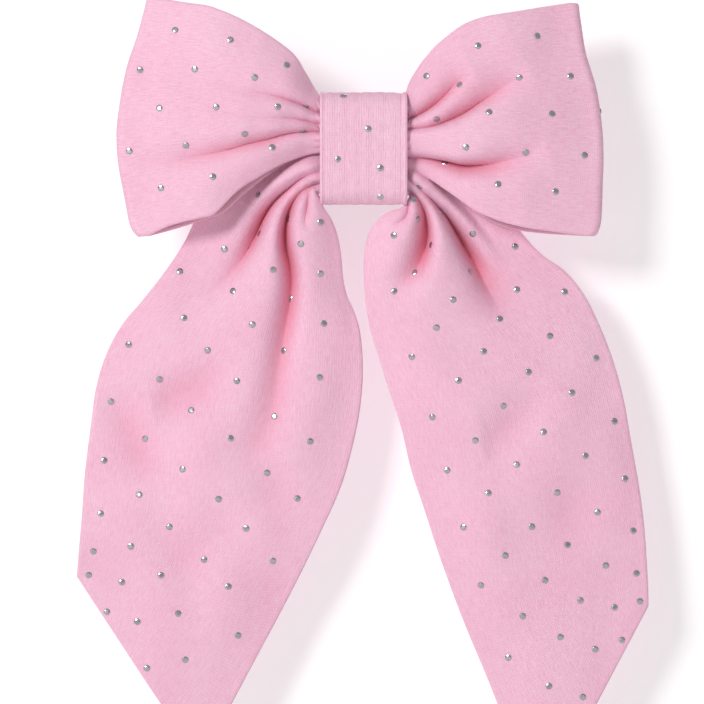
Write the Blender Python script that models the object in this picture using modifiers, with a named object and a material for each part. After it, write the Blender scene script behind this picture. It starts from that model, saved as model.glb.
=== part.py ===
# Hair bow on a sprung lever clip.
# Frame: +X to the wearer-facing right, +Z up, -Y out of the bow's front. The origin lies between the closed
# jaws of the clip, behind the middle of the knot. All lengths are in millimetres and scaled by MM.
import math

import bmesh
import bpy
from mathutils import Matrix, Vector

MM = 0.001

# ---------------------------------------------------------------- driving dimensions
KNOT_WIDTH = 21.8          # along X
KNOT_HALF_HEIGHT = 14.0    # along Z
KNOT_FRONT_Y = -16.0
KNOT_BACK_Y = -4.3
KNOT_PLY = 1.0
KNOT_CORNER = 4.4          # radius of the rounded top and bottom

PLY = 0.5                  # one layer of the bow fabric
PLY_GAP = 0.3              # free space between the two layers of the loop band
TAIL_GAP = 0.5             # and of the tail strip
LOOP_SIDES = 46            # steps round the loop band, per loop
TAIL_STEPS = 26            # steps from the knot to a tail's tip

PIVOT_X, PIVOT_Y = 14.0, 1.1   # the clip's hinge line runs along Z
STEEL = 0.8                # gauge of the clip's sheet steel
ARM_WIDTH = 8.5
ARM_TIP_X, ARM_TAIL_X = -30.0, 32.0
ARM_BACK_Y = -1.1          # face of the top arm that looks at the jaw
JAW_INNER_Y = 3.0
JAW_HALF_WIDTH = 3.05      # where it runs between the arm's ears
JAW_TIP_X = -29.0
THUMB_ANGLE = math.radians(28.0)
THUMB_LENGTH = 18.0
PIN_R, PIN_HOLE_R = 0.6, 0.7
EAR_IN = ARM_WIDTH / 2 - STEEL  # inner face of the arm's ears
WIRE_R, COIL_R, COIL_TURNS = 0.35, 1.15, 4
RIBBON = 0.45
STUD_R, STUD_H = 0.8, 0.35

COLOURS = {
    "fabric": (0.86, 0.50, 0.63, 1), "lining": (0.82, 0.44, 0.58, 1), "thread": (0.86, 0.62, 0.70, 1),
    "steel": (0.72, 0.72, 0.74, 1), "ribbon": (0.88, 0.56, 0.68, 1), "glue": (0.90, 0.86, 0.78, 1),
    "stud": (0.62, 0.62, 0.65, 1),
}
FINISH = {"fabric": (0.85, 0), "lining": (0.9, 0), "thread": (0.6, 0), "steel": (0.28, 1), "ribbon": (0.55, 0),
          "glue": (0.35, 0), "stud": (0.2, 1)}

# ---------------------------------------------------------------- scene and helpers
for o in list(bpy.data.objects):
    bpy.data.objects.remove(o)

PARTS = bpy.data.collections.new("hair_bow")
CUTTERS = bpy.data.collections.new("cutters")
for c in (PARTS, CUTTERS):
    bpy.context.scene.collection.children.link(c)


def material(kind):
    m = bpy.data.materials.get(kind)
    if m is None:
        m = bpy.data.materials.new(kind)
        m.use_nodes = True
        b = m.node_tree.nodes["Principled BSDF"]
        b.inputs["Base Color"].default_value = COLOURS[kind]
        b.inputs["Roughness"].default_value = FINISH[kind][0]
        b.inputs["Metallic"].default_value = FINISH[kind][1]
        m.diffuse_color = COLOURS[kind]
    return m


def add(name, data, kind, collection=PARTS):
    o = bpy.data.objects.new(name, data)
    collection.objects.link(o)
    if kind:
        o.data.materials.append(material(kind))
    return o


def cutter(o):
    o.hide_render = True
    o.display_type = "WIRE"
    return o


def boolean(o, other, operation):
    m = o.modifiers.new(operation.lower() + "_" + other.name, "BOOLEAN")
    m.operation, m.solver, m.object = operation, "EXACT", other
    return m


def to_mesh(o, name, kind=None):
    """The evaluated curve as a mesh object whose caps are welded; the curve goes."""
    bpy.context.view_layer.update()
    graph = bpy.context.evaluated_depsgraph_get()
    mesh = bpy.data.meshes.new_from_object(o.evaluated_get(graph))
    matrix = o.matrix_world.copy()
    collection = o.users_collection[0]
    bpy.data.objects.remove(o)
    bm = bmesh.new()
    bm.from_mesh(mesh)
    bmesh.ops.remove_doubles(bm, verts=bm.verts, dist=1e-6)
    bmesh.ops.recalc_face_normals(bm, faces=bm.faces)
    bm.to_mesh(mesh)
    bm.free()
    mesh.materials.clear()
    made = bpy.data.objects.new(name, mesh)
    collection.objects.link(made)
    if kind:
        mesh.materials.append(material(kind))
    made.matrix_world = matrix
    return made


# A flat outline is drawn in the curve's own XY plane. These matrices stand that plane up.
SIDE_ON = Matrix.Identity(4)                               # outline X, Y -> X, Y; thickness along Z
FACE_ON = Matrix(((1, 0, 0, 0), (0, 0, 1, 0), (0, 1, 0, 0), (0, 0, 0, 1)))  # outline X, Y -> X, Z; thickness along Y


def outline(name, points, low, high, stand, kind=None, collection=PARTS):
    """A closed flat outline with a thickness from low to high along its normal."""
    curve = bpy.data.curves.new(name, "CURVE")
    curve.dimensions = "2D"
    curve.fill_mode = "BOTH"
    curve.extrude = (high - low) / 2 * MM
    spline = curve.splines.new("POLY")
    spline.points.add(len(points) - 1)
    for p, (x, y) in zip(spline.points, points):
        p.co = (x * MM, y * MM, 0, 1)
    spline.use_cyclic_u = True
    o = bpy.data.objects.new(name + "_outline", curve)
    collection.objects.link(o)
    o.matrix_world = stand @ Matrix.Translation((0, 0, (low + high) / 2 * MM))
    return to_mesh(o, name, kind)


def arc(cx, cy, r, a0, a1, n):
    return [(cx + r * math.cos(a0 + (a1 - a0) * i / n), cy + r * math.sin(a0 + (a1 - a0) * i / n)) for i in range(n + 1)]


def wire(name, points, radius, kind, resolution=2):
    curve = bpy.data.curves.new(name, "CURVE")
    curve.dimensions = "3D"
    curve.bevel_depth = radius * MM
    curve.bevel_resolution = resolution
    curve.use_fill_caps = True
    curve.twist_mode = "MINIMUM"
    spline = curve.splines.new("POLY")
    spline.points.add(len(points) - 1)
    for p, q in zip(spline.points, points):
        p.co = (q[0] * MM, q[1] * MM, q[2] * MM, 1)
    return add(name, curve, kind)


def smooth_through(keys, x):
    """A smooth curve (cubic Hermite, finite-difference slopes) through the keys [(x, y), ...], read at x."""
    if x <= keys[0][0]:
        return keys[0][1]
    if x >= keys[-1][0]:
        return keys[-1][1]
    i = max(k for k in range(len(keys) - 1) if keys[k][0] <= x)

    def slope(k):
        a, b = keys[max(k - 1, 0)], keys[min(k + 1, len(keys) - 1)]
        return (b[1] - a[1]) / (b[0] - a[0])

    (x0, y0), (x1, y1) = keys[i], keys[i + 1]
    h = x1 - x0
    t = (x - x0) / h
    return ((2 * t**3 - 3 * t**2 + 1) * y0 + (t**3 - 2 * t**2 + t) * h * slope(i)
            + (-2 * t**3 + 3 * t**2) * y1 + (t**3 - t**2) * h * slope(i + 1))


def through(points, t):
    """A smooth path through evenly keyed points, read at t from 0 to 1."""
    n = len(points) - 1
    return tuple(smooth_through([(i / n, p[k]) for i, p in enumerate(points)], t) for k in range(len(points[0])))


def grid_normals(grid, closed):
    rows, columns = len(grid), len(grid[0])
    normals = []
    for i in range(rows):
        line = []
        for j in range(columns):
            a = grid[(i + 1) % rows if closed else min(i + 1, rows - 1)][j]
            b = grid[(i - 1) % rows if closed else max(i - 1, 0)][j]
            c, d = grid[i][min(j + 1, columns - 1)], grid[i][max(j - 1, 0)]
            line.append((a - b).cross(c - d).normalized())
        normals.append(line)
    return normals


def ply(name, grid, kind, shift, thickness, closed=False, outward=True, flip=False, along=None):
    """One layer of fabric: the surface moved by shift along its normal or a set way, then made solid by Solidify."""
    normals = [[along for _ in row] for row in grid] if along else grid_normals(grid, closed)
    sign = -1 if flip else 1
    bm = bmesh.new()
    verts = [[bm.verts.new((p + n * sign * shift) * MM) for p, n in zip(row, line)] for row, line in zip(grid, normals)]
    rows = len(grid)
    for i in range(rows if closed else rows - 1):
        a, b = verts[i], verts[(i + 1) % rows]
        for j in range(len(a) - 1):
            face = (a[j], b[j], b[j + 1], a[j + 1])
            bm.faces.new(face[::-1] if flip else face)
    mesh = bpy.data.meshes.new(name)
    bm.to_mesh(mesh)
    bm.free()
    mesh.shade_smooth()
    o = add(name, mesh, kind)
    s = o.modifiers.new("thickness", "SOLIDIFY")
    s.thickness = thickness * MM
    s.offset = 1 if outward else -1
    s.use_even_offset = False
    return o


# ---------------------------------------------------------------- the clip
# Top arm: a flat strip with round ends, and two ears that hold the hinge pin.
half = ARM_WIDTH / 2
tip_half, end_r = 3.1, 2.4
strip = ([(ARM_TAIL_X - end_r, -half), *arc(ARM_TAIL_X - end_r, -half + end_r, end_r, -math.pi / 2, 0, 4)[1:],
          *arc(ARM_TAIL_X - end_r, half - end_r, end_r, 0, math.pi / 2, 4)]
         + [(-8, half)]
         + arc(ARM_TIP_X + end_r, tip_half - end_r, end_r, math.pi / 2, math.pi, 4)
         + arc(ARM_TIP_X + end_r, -tip_half + end_r, end_r, math.pi, 1.5 * math.pi, 4)
         + [(-8, -half)])
top_arm = outline("clip_top_arm", strip, ARM_BACK_Y - STEEL, ARM_BACK_Y, FACE_ON, "steel")
ear_side = ([(9.2, ARM_BACK_Y - 0.4), (18.8, ARM_BACK_Y - 0.4), (18.8, ARM_BACK_Y + 0.5)]
            + arc(PIVOT_X, PIVOT_Y, 2.0, math.radians(20), math.radians(160), 8)
            + [(9.2, ARM_BACK_Y + 0.5)])
for side, (low, high) in enumerate(((-half, -EAR_IN), (EAR_IN, half))):
    ear = cutter(outline(f"ear_{side}", ear_side, low, high, SIDE_ON, None, CUTTERS))
    boolean(top_arm, ear, "UNION")


def pin_cutter(name):
    mesh = bpy.data.meshes.new(name)
    bm = bmesh.new()
    bmesh.ops.create_cone(bm, cap_ends=True, segments=20, radius1=PIN_HOLE_R * MM, radius2=PIN_HOLE_R * MM, depth=14 * MM)
    bm.to_mesh(mesh)
    bm.free()
    o = add(name, mesh, None, CUTTERS)
    o.location = (PIVOT_X * MM, PIVOT_Y * MM, 0)
    return cutter(o)


boolean(top_arm, pin_cutter("arm_pin_hole"), "DIFFERENCE")

# Jaw: one strip, bent towards the arm at its toothed tip and flared away from it at the thumb end.
ct, st = math.cos(THUMB_ANGLE), math.sin(THUMB_ANGLE)
inner = [(JAW_TIP_X, -0.02), (JAW_TIP_X + 0.9, 1.3), (JAW_TIP_X + 2.4, 2.5), (JAW_TIP_X + 4.2, JAW_INNER_Y),
         (PIVOT_X + 2.4, JAW_INNER_Y), (PIVOT_X + 2.4 + THUMB_LENGTH * ct, JAW_INNER_Y + THUMB_LENGTH * st)]
outer = [(PIVOT_X + 2.0 + THUMB_LENGTH * ct, JAW_INNER_Y + 0.8 + THUMB_LENGTH * st), (PIVOT_X + 2.1, JAW_INNER_Y + STEEL),
         (JAW_TIP_X + 4.0, JAW_INNER_Y + STEEL), (JAW_TIP_X + 1.8, 3.2), (JAW_TIP_X + 0.15, 1.9), (JAW_TIP_X - 0.75, 0.2)]
jaw = outline("clip_jaw", inner + outer, -half, half, SIDE_ON, "steel")
thumb_end = PIVOT_X + 2.4 + THUMB_LENGTH * ct
plan = ([(JAW_TIP_X - 2, -2.5), (JAW_TIP_X + 6, -JAW_HALF_WIDTH), (PIVOT_X + 5.6, -JAW_HALF_WIDTH), (PIVOT_X + 8.2, -half + 0.3),
         *arc(thumb_end - 3.2, -half + 3.4, 3.1, -math.pi / 2, 0, 5), *arc(thumb_end - 3.2, half - 3.4, 3.1, 0, math.pi / 2, 5),
         (PIVOT_X + 8.2, half - 0.3), (PIVOT_X + 5.6, JAW_HALF_WIDTH), (JAW_TIP_X + 6, JAW_HALF_WIDTH), (JAW_TIP_X - 2, 2.5)])
boolean(jaw, cutter(outline("jaw_plan", plan, -3, 16, FACE_ON, None, CUTTERS)), "INTERSECT")
lug_side = ([(PIVOT_X + 2.3, JAW_INNER_Y + 0.4), (PIVOT_X - 2.3, JAW_INNER_Y + 0.4)]
            + arc(PIVOT_X, PIVOT_Y, 1.6, math.radians(200), math.radians(340), 8))
for side, (low, high) in enumerate(((-JAW_HALF_WIDTH, -JAW_HALF_WIDTH + STEEL), (JAW_HALF_WIDTH - STEEL, JAW_HALF_WIDTH))):
    boolean(jaw, cutter(outline(f"lug_{side}", lug_side, low, high, SIDE_ON, None, CUTTERS)), "UNION")
boolean(jaw, pin_cutter("jaw_pin_hole"), "DIFFERENCE")
for k in range(3):  # the notches between the jaw's four teeth
    bm = bmesh.new()
    bmesh.ops.create_cube(bm, size=1.0)
    mesh = bpy.data.meshes.new(f"notch_{k}")
    bm.to_mesh(mesh)
    bm.free()
    mesh.transform(Matrix.Rotation(math.radians(45), 4, "X") @ Matrix.Diagonal((4 * MM, 0.72 * MM, 0.72 * MM, 1)))
    notch = add(f"notch_{k}", mesh, None, CUTTERS)
    notch.location = (JAW_TIP_X * MM, 0.0, (k - 1) * 1.3 * MM)
    boolean(jaw, cutter(notch), "DIFFERENCE")

# Hinge pin: a turned rivet, its heads outside the ears.
profile = [(0, 4.85), (0.7, 4.8), (1.1, 4.6), (1.15, 4.4), (PIN_R, 4.4), (PIN_R, -4.4), (1.15, -4.4), (1.1, -4.6), (0.7, -4.8), (0, -4.85)]
mesh = bpy.data.meshes.new("clip_pin")
mesh.from_pydata([(r * MM, 0, z * MM) for r, z in profile], [(i, i + 1) for i in range(len(profile) - 1)], [])
pin = add("clip_pin", mesh, "steel")
pin.location = (PIVOT_X * MM, PIVOT_Y * MM, 0)
screw = pin.modifiers.new("turn", "SCREW")
screw.steps = screw.render_steps = 20
screw.axis = "Z"
screw.use_merge_vertices = True
screw.merge_threshold = 0.00001
screw.use_smooth_shade = True

# Torsion spring: a coil round the pin, with one leg on the arm and one on the jaw's thumb tab.
leg_y = ARM_BACK_Y + 0.3 + WIRE_R
steps = 12 * COIL_TURNS
points = [(PIVOT_X + 9.0, leg_y + 0.02, -1.62), (PIVOT_X + 5.0, leg_y, -1.62), (PIVOT_X + 1.6, PIVOT_Y - COIL_R - 0.12, -1.62)]
start_angle, total = -math.pi / 2, -(2 * COIL_TURNS - 1) * math.pi
for i in range(steps + 1):
    a = start_angle + total * i / steps
    z = -1.6 + 3.2 * i / steps
    points.append((PIVOT_X + COIL_R * math.cos(a), PIVOT_Y + COIL_R * math.sin(a), z))
offset = 0.3 + WIRE_R  # the leg lies this far from the tab's inner face
hx, hy = PIVOT_X + 2.4 + offset * st, JAW_INNER_Y - offset * ct
points += [(hx, hy, 1.62), (hx + 8.5 * ct, hy + 8.5 * st, 1.62)]
wire("clip_spring", points, WIRE_R, "steel")

# Ribbon lining: up the arm's face, round its tip and back along its inner face.
r_out, r_in = ARM_BACK_Y - STEEL - 0.3, ARM_BACK_Y + 0.3
lap = [(30.0, r_out), (ARM_TIP_X - 0.1, r_out), (ARM_TIP_X - 0.3, r_out + 0.2), (ARM_TIP_X - 0.3, r_in - 0.2), (ARM_TIP_X - 0.1, r_in), (7.0, r_in),
       (7.0, r_in + RIBBON), (ARM_TIP_X - 0.3, r_in + RIBBON), (ARM_TIP_X - 0.62, r_in + RIBBON - 0.12), (ARM_TIP_X - 0.75, r_in + 0.1),
       (ARM_TIP_X - 0.75, r_out - 0.1), (ARM_TIP_X - 0.62, r_out - RIBBON + 0.12), (ARM_TIP_X - 0.3, r_out - RIBBON), (30.0, r_out - RIBBON)]
outline("clip_ribbon", lap, -3.9, 3.9, SIDE_ON, "ribbon")

# Hot-melt pad that bonds the knot to the ribbon.
glue_front, glue_back = KNOT_BACK_Y + 0.3, r_out - RIBBON - 0.3
bm = bmesh.new()
bmesh.ops.create_cube(bm, size=1.0)
mesh = bpy.data.meshes.new("glue_pad")
bm.to_mesh(mesh)
bm.free()
mesh.transform(Matrix.Diagonal((17 * MM, (glue_back - glue_front) * MM, 7.6 * MM, 1)))
mesh.shade_smooth()
glue = add("glue_pad", mesh, "glue")
glue.location = (0, (glue_front + glue_back) / 2 * MM, 0)
bevel = glue.modifiers.new("round", "BEVEL")
bevel.width, bevel.segments = 0.45 * MM, 2

# ---------------------------------------------------------------- the knot
def rounded_section(top, front, back, r, n=6):
    """Rounded rectangle in Y and Z, starting at the back's upper corner and running up and over the front."""
    section = []
    for cy, cz, a0 in ((back - r, top - r, 0), (front + r, top - r, 90), (front + r, -top + r, 180), (back - r, -top + r, 270)):
        for i in range(n + 1):
            a = math.radians(a0 + 90 * i / n)
            section.append((cy + r * math.cos(a), cz + r * math.sin(a)))
    return section


wrap_grid = []
for y, z in rounded_section(KNOT_HALF_HEIGHT - KNOT_PLY / 2, KNOT_FRONT_Y + KNOT_PLY / 2, KNOT_BACK_Y - KNOT_PLY / 2,
                            KNOT_CORNER - KNOT_PLY / 2):
    row = []
    for j in range(7):
        f = j / 6
        x = (f - 0.5) * KNOT_WIDTH
        pinch = 0.35 * (2 * f - 1) ** 2  # the wrap is a little tighter at its two edges
        centre = (KNOT_FRONT_Y + KNOT_BACK_Y) / 2
        row.append(Vector((x, centre + (y - centre) * (1 - pinch * 0.03), z * (1 - pinch * 0.03))))
    wrap_grid.append(row)
ply("knot_wrap", wrap_grid, "fabric", -KNOT_PLY / 2, KNOT_PLY, closed=True, outward=True, flip=True)

# Gathering thread: wound tightly round the pinched fabric, under the wrap.
turns = 5
around = rounded_section(12.3, -14.45, -5.85, 2.6, 4)
thread = []
for i in range(turns * len(around) + 1):
    y, z = around[i % len(around)]
    thread.append((-2.2 + 4.4 * i / (turns * len(around)), y, z))
wire("gather_thread", thread, 0.22, "thread", 1)

# Hand stitches that close the wrap's lap on its back face.
for k in range(4):
    x0 = -6.6 + 4.4 * k
    pts = [(x0 + 1.5 * f, KNOT_BACK_Y + 0.5 + 0.45 * math.sin(math.pi * f), -7.2 + 2.4 * f) for f in (0, 0.15, 0.35, 0.5, 0.65, 0.85, 1)]
    wire(f"wrap_stitch_{k + 1}", pts, 0.2, "thread", 1)

# Metal studs on the knot. Each place is X and the arc position on the wrap's section.
def stud_mesh():
    mesh = bpy.data.meshes.get("stud")
    if mesh is None:
        mesh = bpy.data.meshes.new("stud")
        bm = bmesh.new()
        bmesh.ops.create_cone(bm, cap_ends=True, segments=10, radius1=STUD_R * MM, radius2=STUD_R * 0.55 * MM, depth=STUD_H * MM)
        bm.to_mesh(mesh)
        bm.free()
        mesh.materials.append(material("stud"))
    return mesh


def on_knot(z, front=True):
    """A point and outward normal (Y, Z) on the wrap's outer face at height z, on its front half."""
    r, top = KNOT_CORNER, KNOT_HALF_HEIGHT
    flat = top - r
    if abs(z) <= flat:
        return (KNOT_FRONT_Y, z), (-1.0, 0.0)
    a = math.asin(min(1.0, (abs(z) - flat) / r))
    sign = 1 if z > 0 else -1
    return (KNOT_FRONT_Y + r - r * math.cos(a), sign * (flat + r * math.sin(a))), (-math.cos(a), sign * math.sin(a))


for k, (x, z) in enumerate(((0.9, 5.0), (-6.4, -2.75), (4.1, -5.1), (-5.1, 13.2), (4.2, -12.9))):
    (y, zz), (ny, nz) = on_knot(z)
    normal = Vector((0, ny, nz))
    stud = bpy.data.objects.new(f"knot_stud_{k + 1}", stud_mesh())
    PARTS.objects.link(stud)
    stud.rotation_mode = "QUATERNION"
    stud.rotation_quaternion = normal.to_track_quat("Z", "Y")
    lift = 0.3 + STUD_H / 2 + 0.02
    stud.location = (Vector((x, y, zz)) + normal * lift) * MM

# ---------------------------------------------------------------- the loop band
# One strip of doubled fabric, closed into a ring: out along the front to the fold of a loop, back behind it.
FRONT = [(0.0, -13.0), (0.18, -13.3), (0.36, -16.6), (0.58, -17.8), (0.80, -15.6), (0.93, -12.9)]
BACK = [(0.93, -9.7), (0.80, -8.9), (0.58, -8.6), (0.36, -9.0), (0.18, -9.6), (0.0, -9.8)]
LOOPS = {
    # each outline: (share of the way from the middle to the fold, height) for the top and bottom edges, and the fold's X by height share
    -1: {"top": [(0, 9.6), (0.15, 9.9), (0.20, 11.2), (0.25, 17.4), (0.33, 25.6), (0.45, 30.9), (0.62, 35.0), (0.80, 37.4), (1.0, 38.2)],
         "bottom": [(0, -6.6), (0.18, -3.4), (0.30, -4.4), (0.42, -7.2), (0.52, -11.0), (0.60, -14.6), (0.68, -16.6), (0.80, -18.2), (1.0, -21.8)],
         "fold": [(0, 56.0), (0.2, 59.4), (0.45, 61.4), (0.6, 60.6), (0.8, 57.0), (1.0, 53.0)]},
    1: {"top": [(0, 9.6), (0.15, 9.9), (0.20, 11.2), (0.25, 19.4), (0.36, 28.2), (0.50, 32.2), (0.68, 34.0), (0.86, 35.3), (1.0, 36.0)],
        "bottom": [(0, -6.6), (0.18, -6.0), (0.31, -8.2), (0.42, -12.2), (0.52, -15.8), (0.62, -17.4), (0.80, -19.4), (1.0, -21.0)],
        "fold": [(0, 58.2), (0.2, 59.4), (0.4, 60.0), (0.6, 58.6), (0.8, 56.0), (1.0, 53.2)]},
}


def loop_profile(n):
    """(share, y) round one loop from the middle of the front to the middle of the back, the fold rounded."""
    section = []
    m = n // 2 - 4
    for i in range(m):
        s = 0.93 * i / (m - 1)
        section.append((s, smooth_through(FRONT, s)))
    y0, y1 = FRONT[-1][1], BACK[0][1]
    for i in range(1, 8):
        a = math.pi * i / 8
        section.append((0.93 + 0.07 * math.sin(a), (y0 + y1) / 2 + (y0 - y1) / 2 * math.cos(a)))
    for i in range(m):
        s = 0.93 * (1 - i / (m - 1))
        section.append((s, smooth_through(BACK[::-1], s)))
    return section


def loop_row(side, s, y, columns=7):
    shape, row = LOOPS[side], []
    for j in range(columns):
        v = j / (columns - 1)
        bottom, top = smooth_through(shape["bottom"], s), smooth_through(shape["top"], s)
        row.append(Vector((side * s * smooth_through(shape["fold"], v), y, bottom + (top - bottom) * v)))
    return row


profile = loop_profile(LOOP_SIDES)
right = [loop_row(1, s, y) for s, y in profile]
left = [loop_row(-1, s, y) for s, y in profile]
ring = right + left[::-1][1:-1]
ply("loop_band_outer", ring, "fabric", 0.0, PLY, closed=True, outward=True)
ply("loop_band_lining", ring, "lining", -PLY_GAP, PLY, closed=True, outward=False)

# ---------------------------------------------------------------- the tail strip
# One strip of doubled fabric that passes behind the loops and turns down on both sides. Outer and inner edge by X, Z.
TAILS = {
    -1: {"outer": [(0, 1.5), (-13, 1.0), (-24, -4), (-33, -11), (-41, -19), (-48.5, -29), (-56, -40), (-63, -54), (-67.5, -69), (-70, -84),
                   (-71.6, -106.5)],
         "inner": [(0, -9.6), (-11.8, -10.6), (-11.4, -15), (-6.4, -20.4), (-2.3, -30), (-0.5, -42), (-0.2, -54), (-2.2, -72), (-9.5, -94),
                   (-22, -124), (-40.5, -153.8)]},
    1: {"outer": [(0, 1.5), (13, -1.5), (24, -8), (33, -13.5), (42, -20.5), (50.5, -28.5), (58, -42), (63.5, -58), (67.5, -76), (70, -94),
                  (71.4, -115)],
        "inner": [(0, -9.6), (11.8, -10.6), (11.6, -15), (4.2, -20), (0.5, -30), (1.6, -43), (5.4, -56), (13.5, -78), (22.5, -104),
                  (32.5, -134), (43.6, -166.8)]},
}


def tail_row(side, t, columns=8):
    a, b = through(TAILS[side]["outer"], t), through(TAILS[side]["inner"], t)
    row = []
    for j in range(columns):
        u = j / (columns - 1)
        x, z = a[0] + (b[0] - a[0]) * u, a[1] + (b[1] - a[1]) * u
        near = min(1.0, max(0.0, (0.37 - t) / 0.26))
        near = near * near * (3 - 2 * near)
        y_knot = -7.0 - 0.4 * u
        wave = 1.1 * math.sin(2 * math.pi * (1.25 * u + 0.8 * t * side)) * min(1.0, t / 0.25) * (1 - 0.35 * t)
        y_hang = -4.9 + 0.9 * t + wave * (0.55 + 0.45 * t)
        row.append(Vector((x, y_knot * near + y_hang * (1 - near), z)))
    return row


left = [tail_row(-1, (i / TAIL_STEPS) ** 1.15) for i in range(TAIL_STEPS, 0, -1)]
right = [tail_row(1, (i / TAIL_STEPS) ** 1.15) for i in range(0, TAIL_STEPS + 1)]
strip = left + right
ply("tail_strip_front", strip, "fabric", TAIL_GAP / 2, PLY, outward=False, along=Vector((0, -1, 0)))
ply("tail_strip_back", strip, "lining", TAIL_GAP / 2, PLY, outward=True, along=Vector((0, 1, 0)))
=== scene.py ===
import math

import bpy
import numpy as np
from mathutils import Matrix, Vector


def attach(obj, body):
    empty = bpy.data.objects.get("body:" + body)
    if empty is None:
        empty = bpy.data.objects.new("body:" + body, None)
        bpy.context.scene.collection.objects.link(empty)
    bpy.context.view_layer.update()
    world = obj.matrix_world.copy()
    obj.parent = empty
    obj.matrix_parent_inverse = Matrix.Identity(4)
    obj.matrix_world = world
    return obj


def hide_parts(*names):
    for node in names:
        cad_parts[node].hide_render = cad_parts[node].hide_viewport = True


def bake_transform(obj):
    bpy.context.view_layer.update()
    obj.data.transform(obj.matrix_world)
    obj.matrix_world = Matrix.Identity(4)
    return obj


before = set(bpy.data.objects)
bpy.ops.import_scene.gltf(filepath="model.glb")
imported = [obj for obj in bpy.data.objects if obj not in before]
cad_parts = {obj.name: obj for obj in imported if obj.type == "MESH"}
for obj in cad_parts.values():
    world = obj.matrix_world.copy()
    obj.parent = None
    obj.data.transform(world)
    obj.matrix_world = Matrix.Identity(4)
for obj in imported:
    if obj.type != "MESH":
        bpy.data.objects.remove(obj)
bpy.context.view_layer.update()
MM = 0.001
RNG = np.random.default_rng(11)

PLY = 1.1            # both layers of the bow's fabric together
LOOP_FLAT = 60.0     # width of the loop band before it is gathered
TAIL_FLAT = 66.0     # width of the tail strip before it is gathered
STUD_ACROSS, STUD_ALONG = 10.3, 14.8   # half-drop repeat of the studs


# ------------------------------------------------------------------ numbers: smooth paths and keyed values
def spline(points, params):
    """Catmull-Rom through evenly keyed points, read at params from 0 to 1."""
    pts = np.asarray(points, float)
    if pts.ndim == 1:
        pts = pts[:, None]
    n = len(pts) - 1
    x = np.clip(np.asarray(params, float), 0, 1) * n
    i = np.minimum(x.astype(int), n - 1)
    t = (x - i)[:, None]
    p1, p2 = pts[i], pts[i + 1]
    p0 = np.where((i > 0)[:, None], pts[np.maximum(i - 1, 0)], 2 * p1 - p2)
    p3 = np.where((i < n - 1)[:, None], pts[np.minimum(i + 2, n)], 2 * p2 - p1)
    return 0.5 * (2 * p1 + (p2 - p0) * t + (2 * p0 - 5 * p1 + 4 * p2 - p3) * t**2 + (3 * p1 - p0 - 3 * p2 + p3) * t**3)


def by_length(points, params):
    """The same path, read by its share of length."""
    fine = spline(points, np.linspace(0, 1, 900))
    run = np.concatenate([[0], np.cumsum(np.linalg.norm(np.diff(fine, axis=0), axis=1))])
    run /= run[-1]
    return np.stack([np.interp(params, run, fine[:, k]) for k in range(fine.shape[1])], axis=1)


def keyed(keys, x, soft=0.05):
    """A value keyed as (place, value) pairs, with its corners rounded off over a stretch of 2 * soft."""
    kx, ky = [k[0] for k in keys], [k[1] for k in keys]
    total, weight = 0.0, 0.0
    for k in range(-4, 5):
        w = 1 + math.cos(math.pi * k / 5)
        total = total + w * np.interp(np.asarray(x) + soft * k / 4, kx, ky)
        weight += w
    return total / weight


def smooth(x):
    x = np.clip(x, 0, 1)
    return x * x * (3 - 2 * x)


def noise(x, y, size, seed):
    """Smooth value noise with bumps about size across, from -1 to 1."""
    table = np.random.default_rng(seed).uniform(-1, 1, (64, 64))
    u, v = np.asarray(x) / size + 20.3, np.asarray(y) / size + 31.7
    i, j = np.floor(u).astype(int), np.floor(v).astype(int)
    a, b = smooth(u - i), smooth(v - j)
    t = lambda p, q: table[p % 64, q % 64]
    return (t(i, j) * (1 - a) + t(i + 1, j) * a) * (1 - b) + (t(i, j + 1) * (1 - a) + t(i + 1, j + 1) * a) * b


# ------------------------------------------------------------------ folds
class Fold:
    """A crease in the cloth along a path. depth is how far it sinks (negative stands out); left and right are how
    wide it is on either side of the path, as one looks along it; power 1 is a sharp crease and 2 a soft dip."""

    def __init__(self, path, depth, left, right, power=1.2):
        n = 28
        t = np.linspace(0, 1, n)
        self.path = spline(path, t)
        self.depth = spline(depth, t)[:, 0]
        self.left = np.interp(t, np.linspace(0, 1, len(left)), left)
        self.right = np.interp(t, np.linspace(0, 1, len(right)), right)
        self.power = power

    def height(self, x, z):
        best = np.full(x.shape, 1e9)
        value = np.zeros(x.shape)
        for k in range(len(self.path) - 1):
            (ax, az), (bx, bz) = self.path[k], self.path[k + 1]
            dx, dz = bx - ax, bz - az
            length2 = dx * dx + dz * dz + 1e-12
            t = np.clip(((x - ax) * dx + (z - az) * dz) / length2, 0, 1)
            ex, ez = x - ax - t * dx, z - az - t * dz
            d2 = ex * ex + ez * ez
            near = d2 < best
            if not near.any():
                continue
            d = np.sqrt(d2[near])
            on_left = (dx * ez - dz * ex)[near] > 0
            tt = t[near]
            depth = self.depth[k] * (1 - tt) + self.depth[k + 1] * tt
            left = self.left[k] * (1 - tt) + self.left[k + 1] * tt
            right = self.right[k] * (1 - tt) + self.right[k + 1] * tt
            width = np.where(on_left, left, right)
            value[near] = -depth * np.exp(-((d / width) ** self.power))
            best[near] = d2[near]
        return value


def folded(x, z, folds):
    total = np.zeros(x.shape)
    for f in folds:
        total += f.height(x, z)
    return total


# ------------------------------------------------------------------ cloth grids to closed meshes
def normals_of(grid, closed):
    """Unit normals of a grid of points (rows, columns, 3), as row direction x column direction."""
    if closed:
        dr = np.roll(grid, -1, axis=0) - np.roll(grid, 1, axis=0)
    else:
        dr = np.gradient(grid, axis=0)
    dc = np.gradient(grid, axis=1)
    n = np.cross(dr, dc)
    return n / np.maximum(np.linalg.norm(n, axis=2, keepdims=True), 1e-9)


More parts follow.
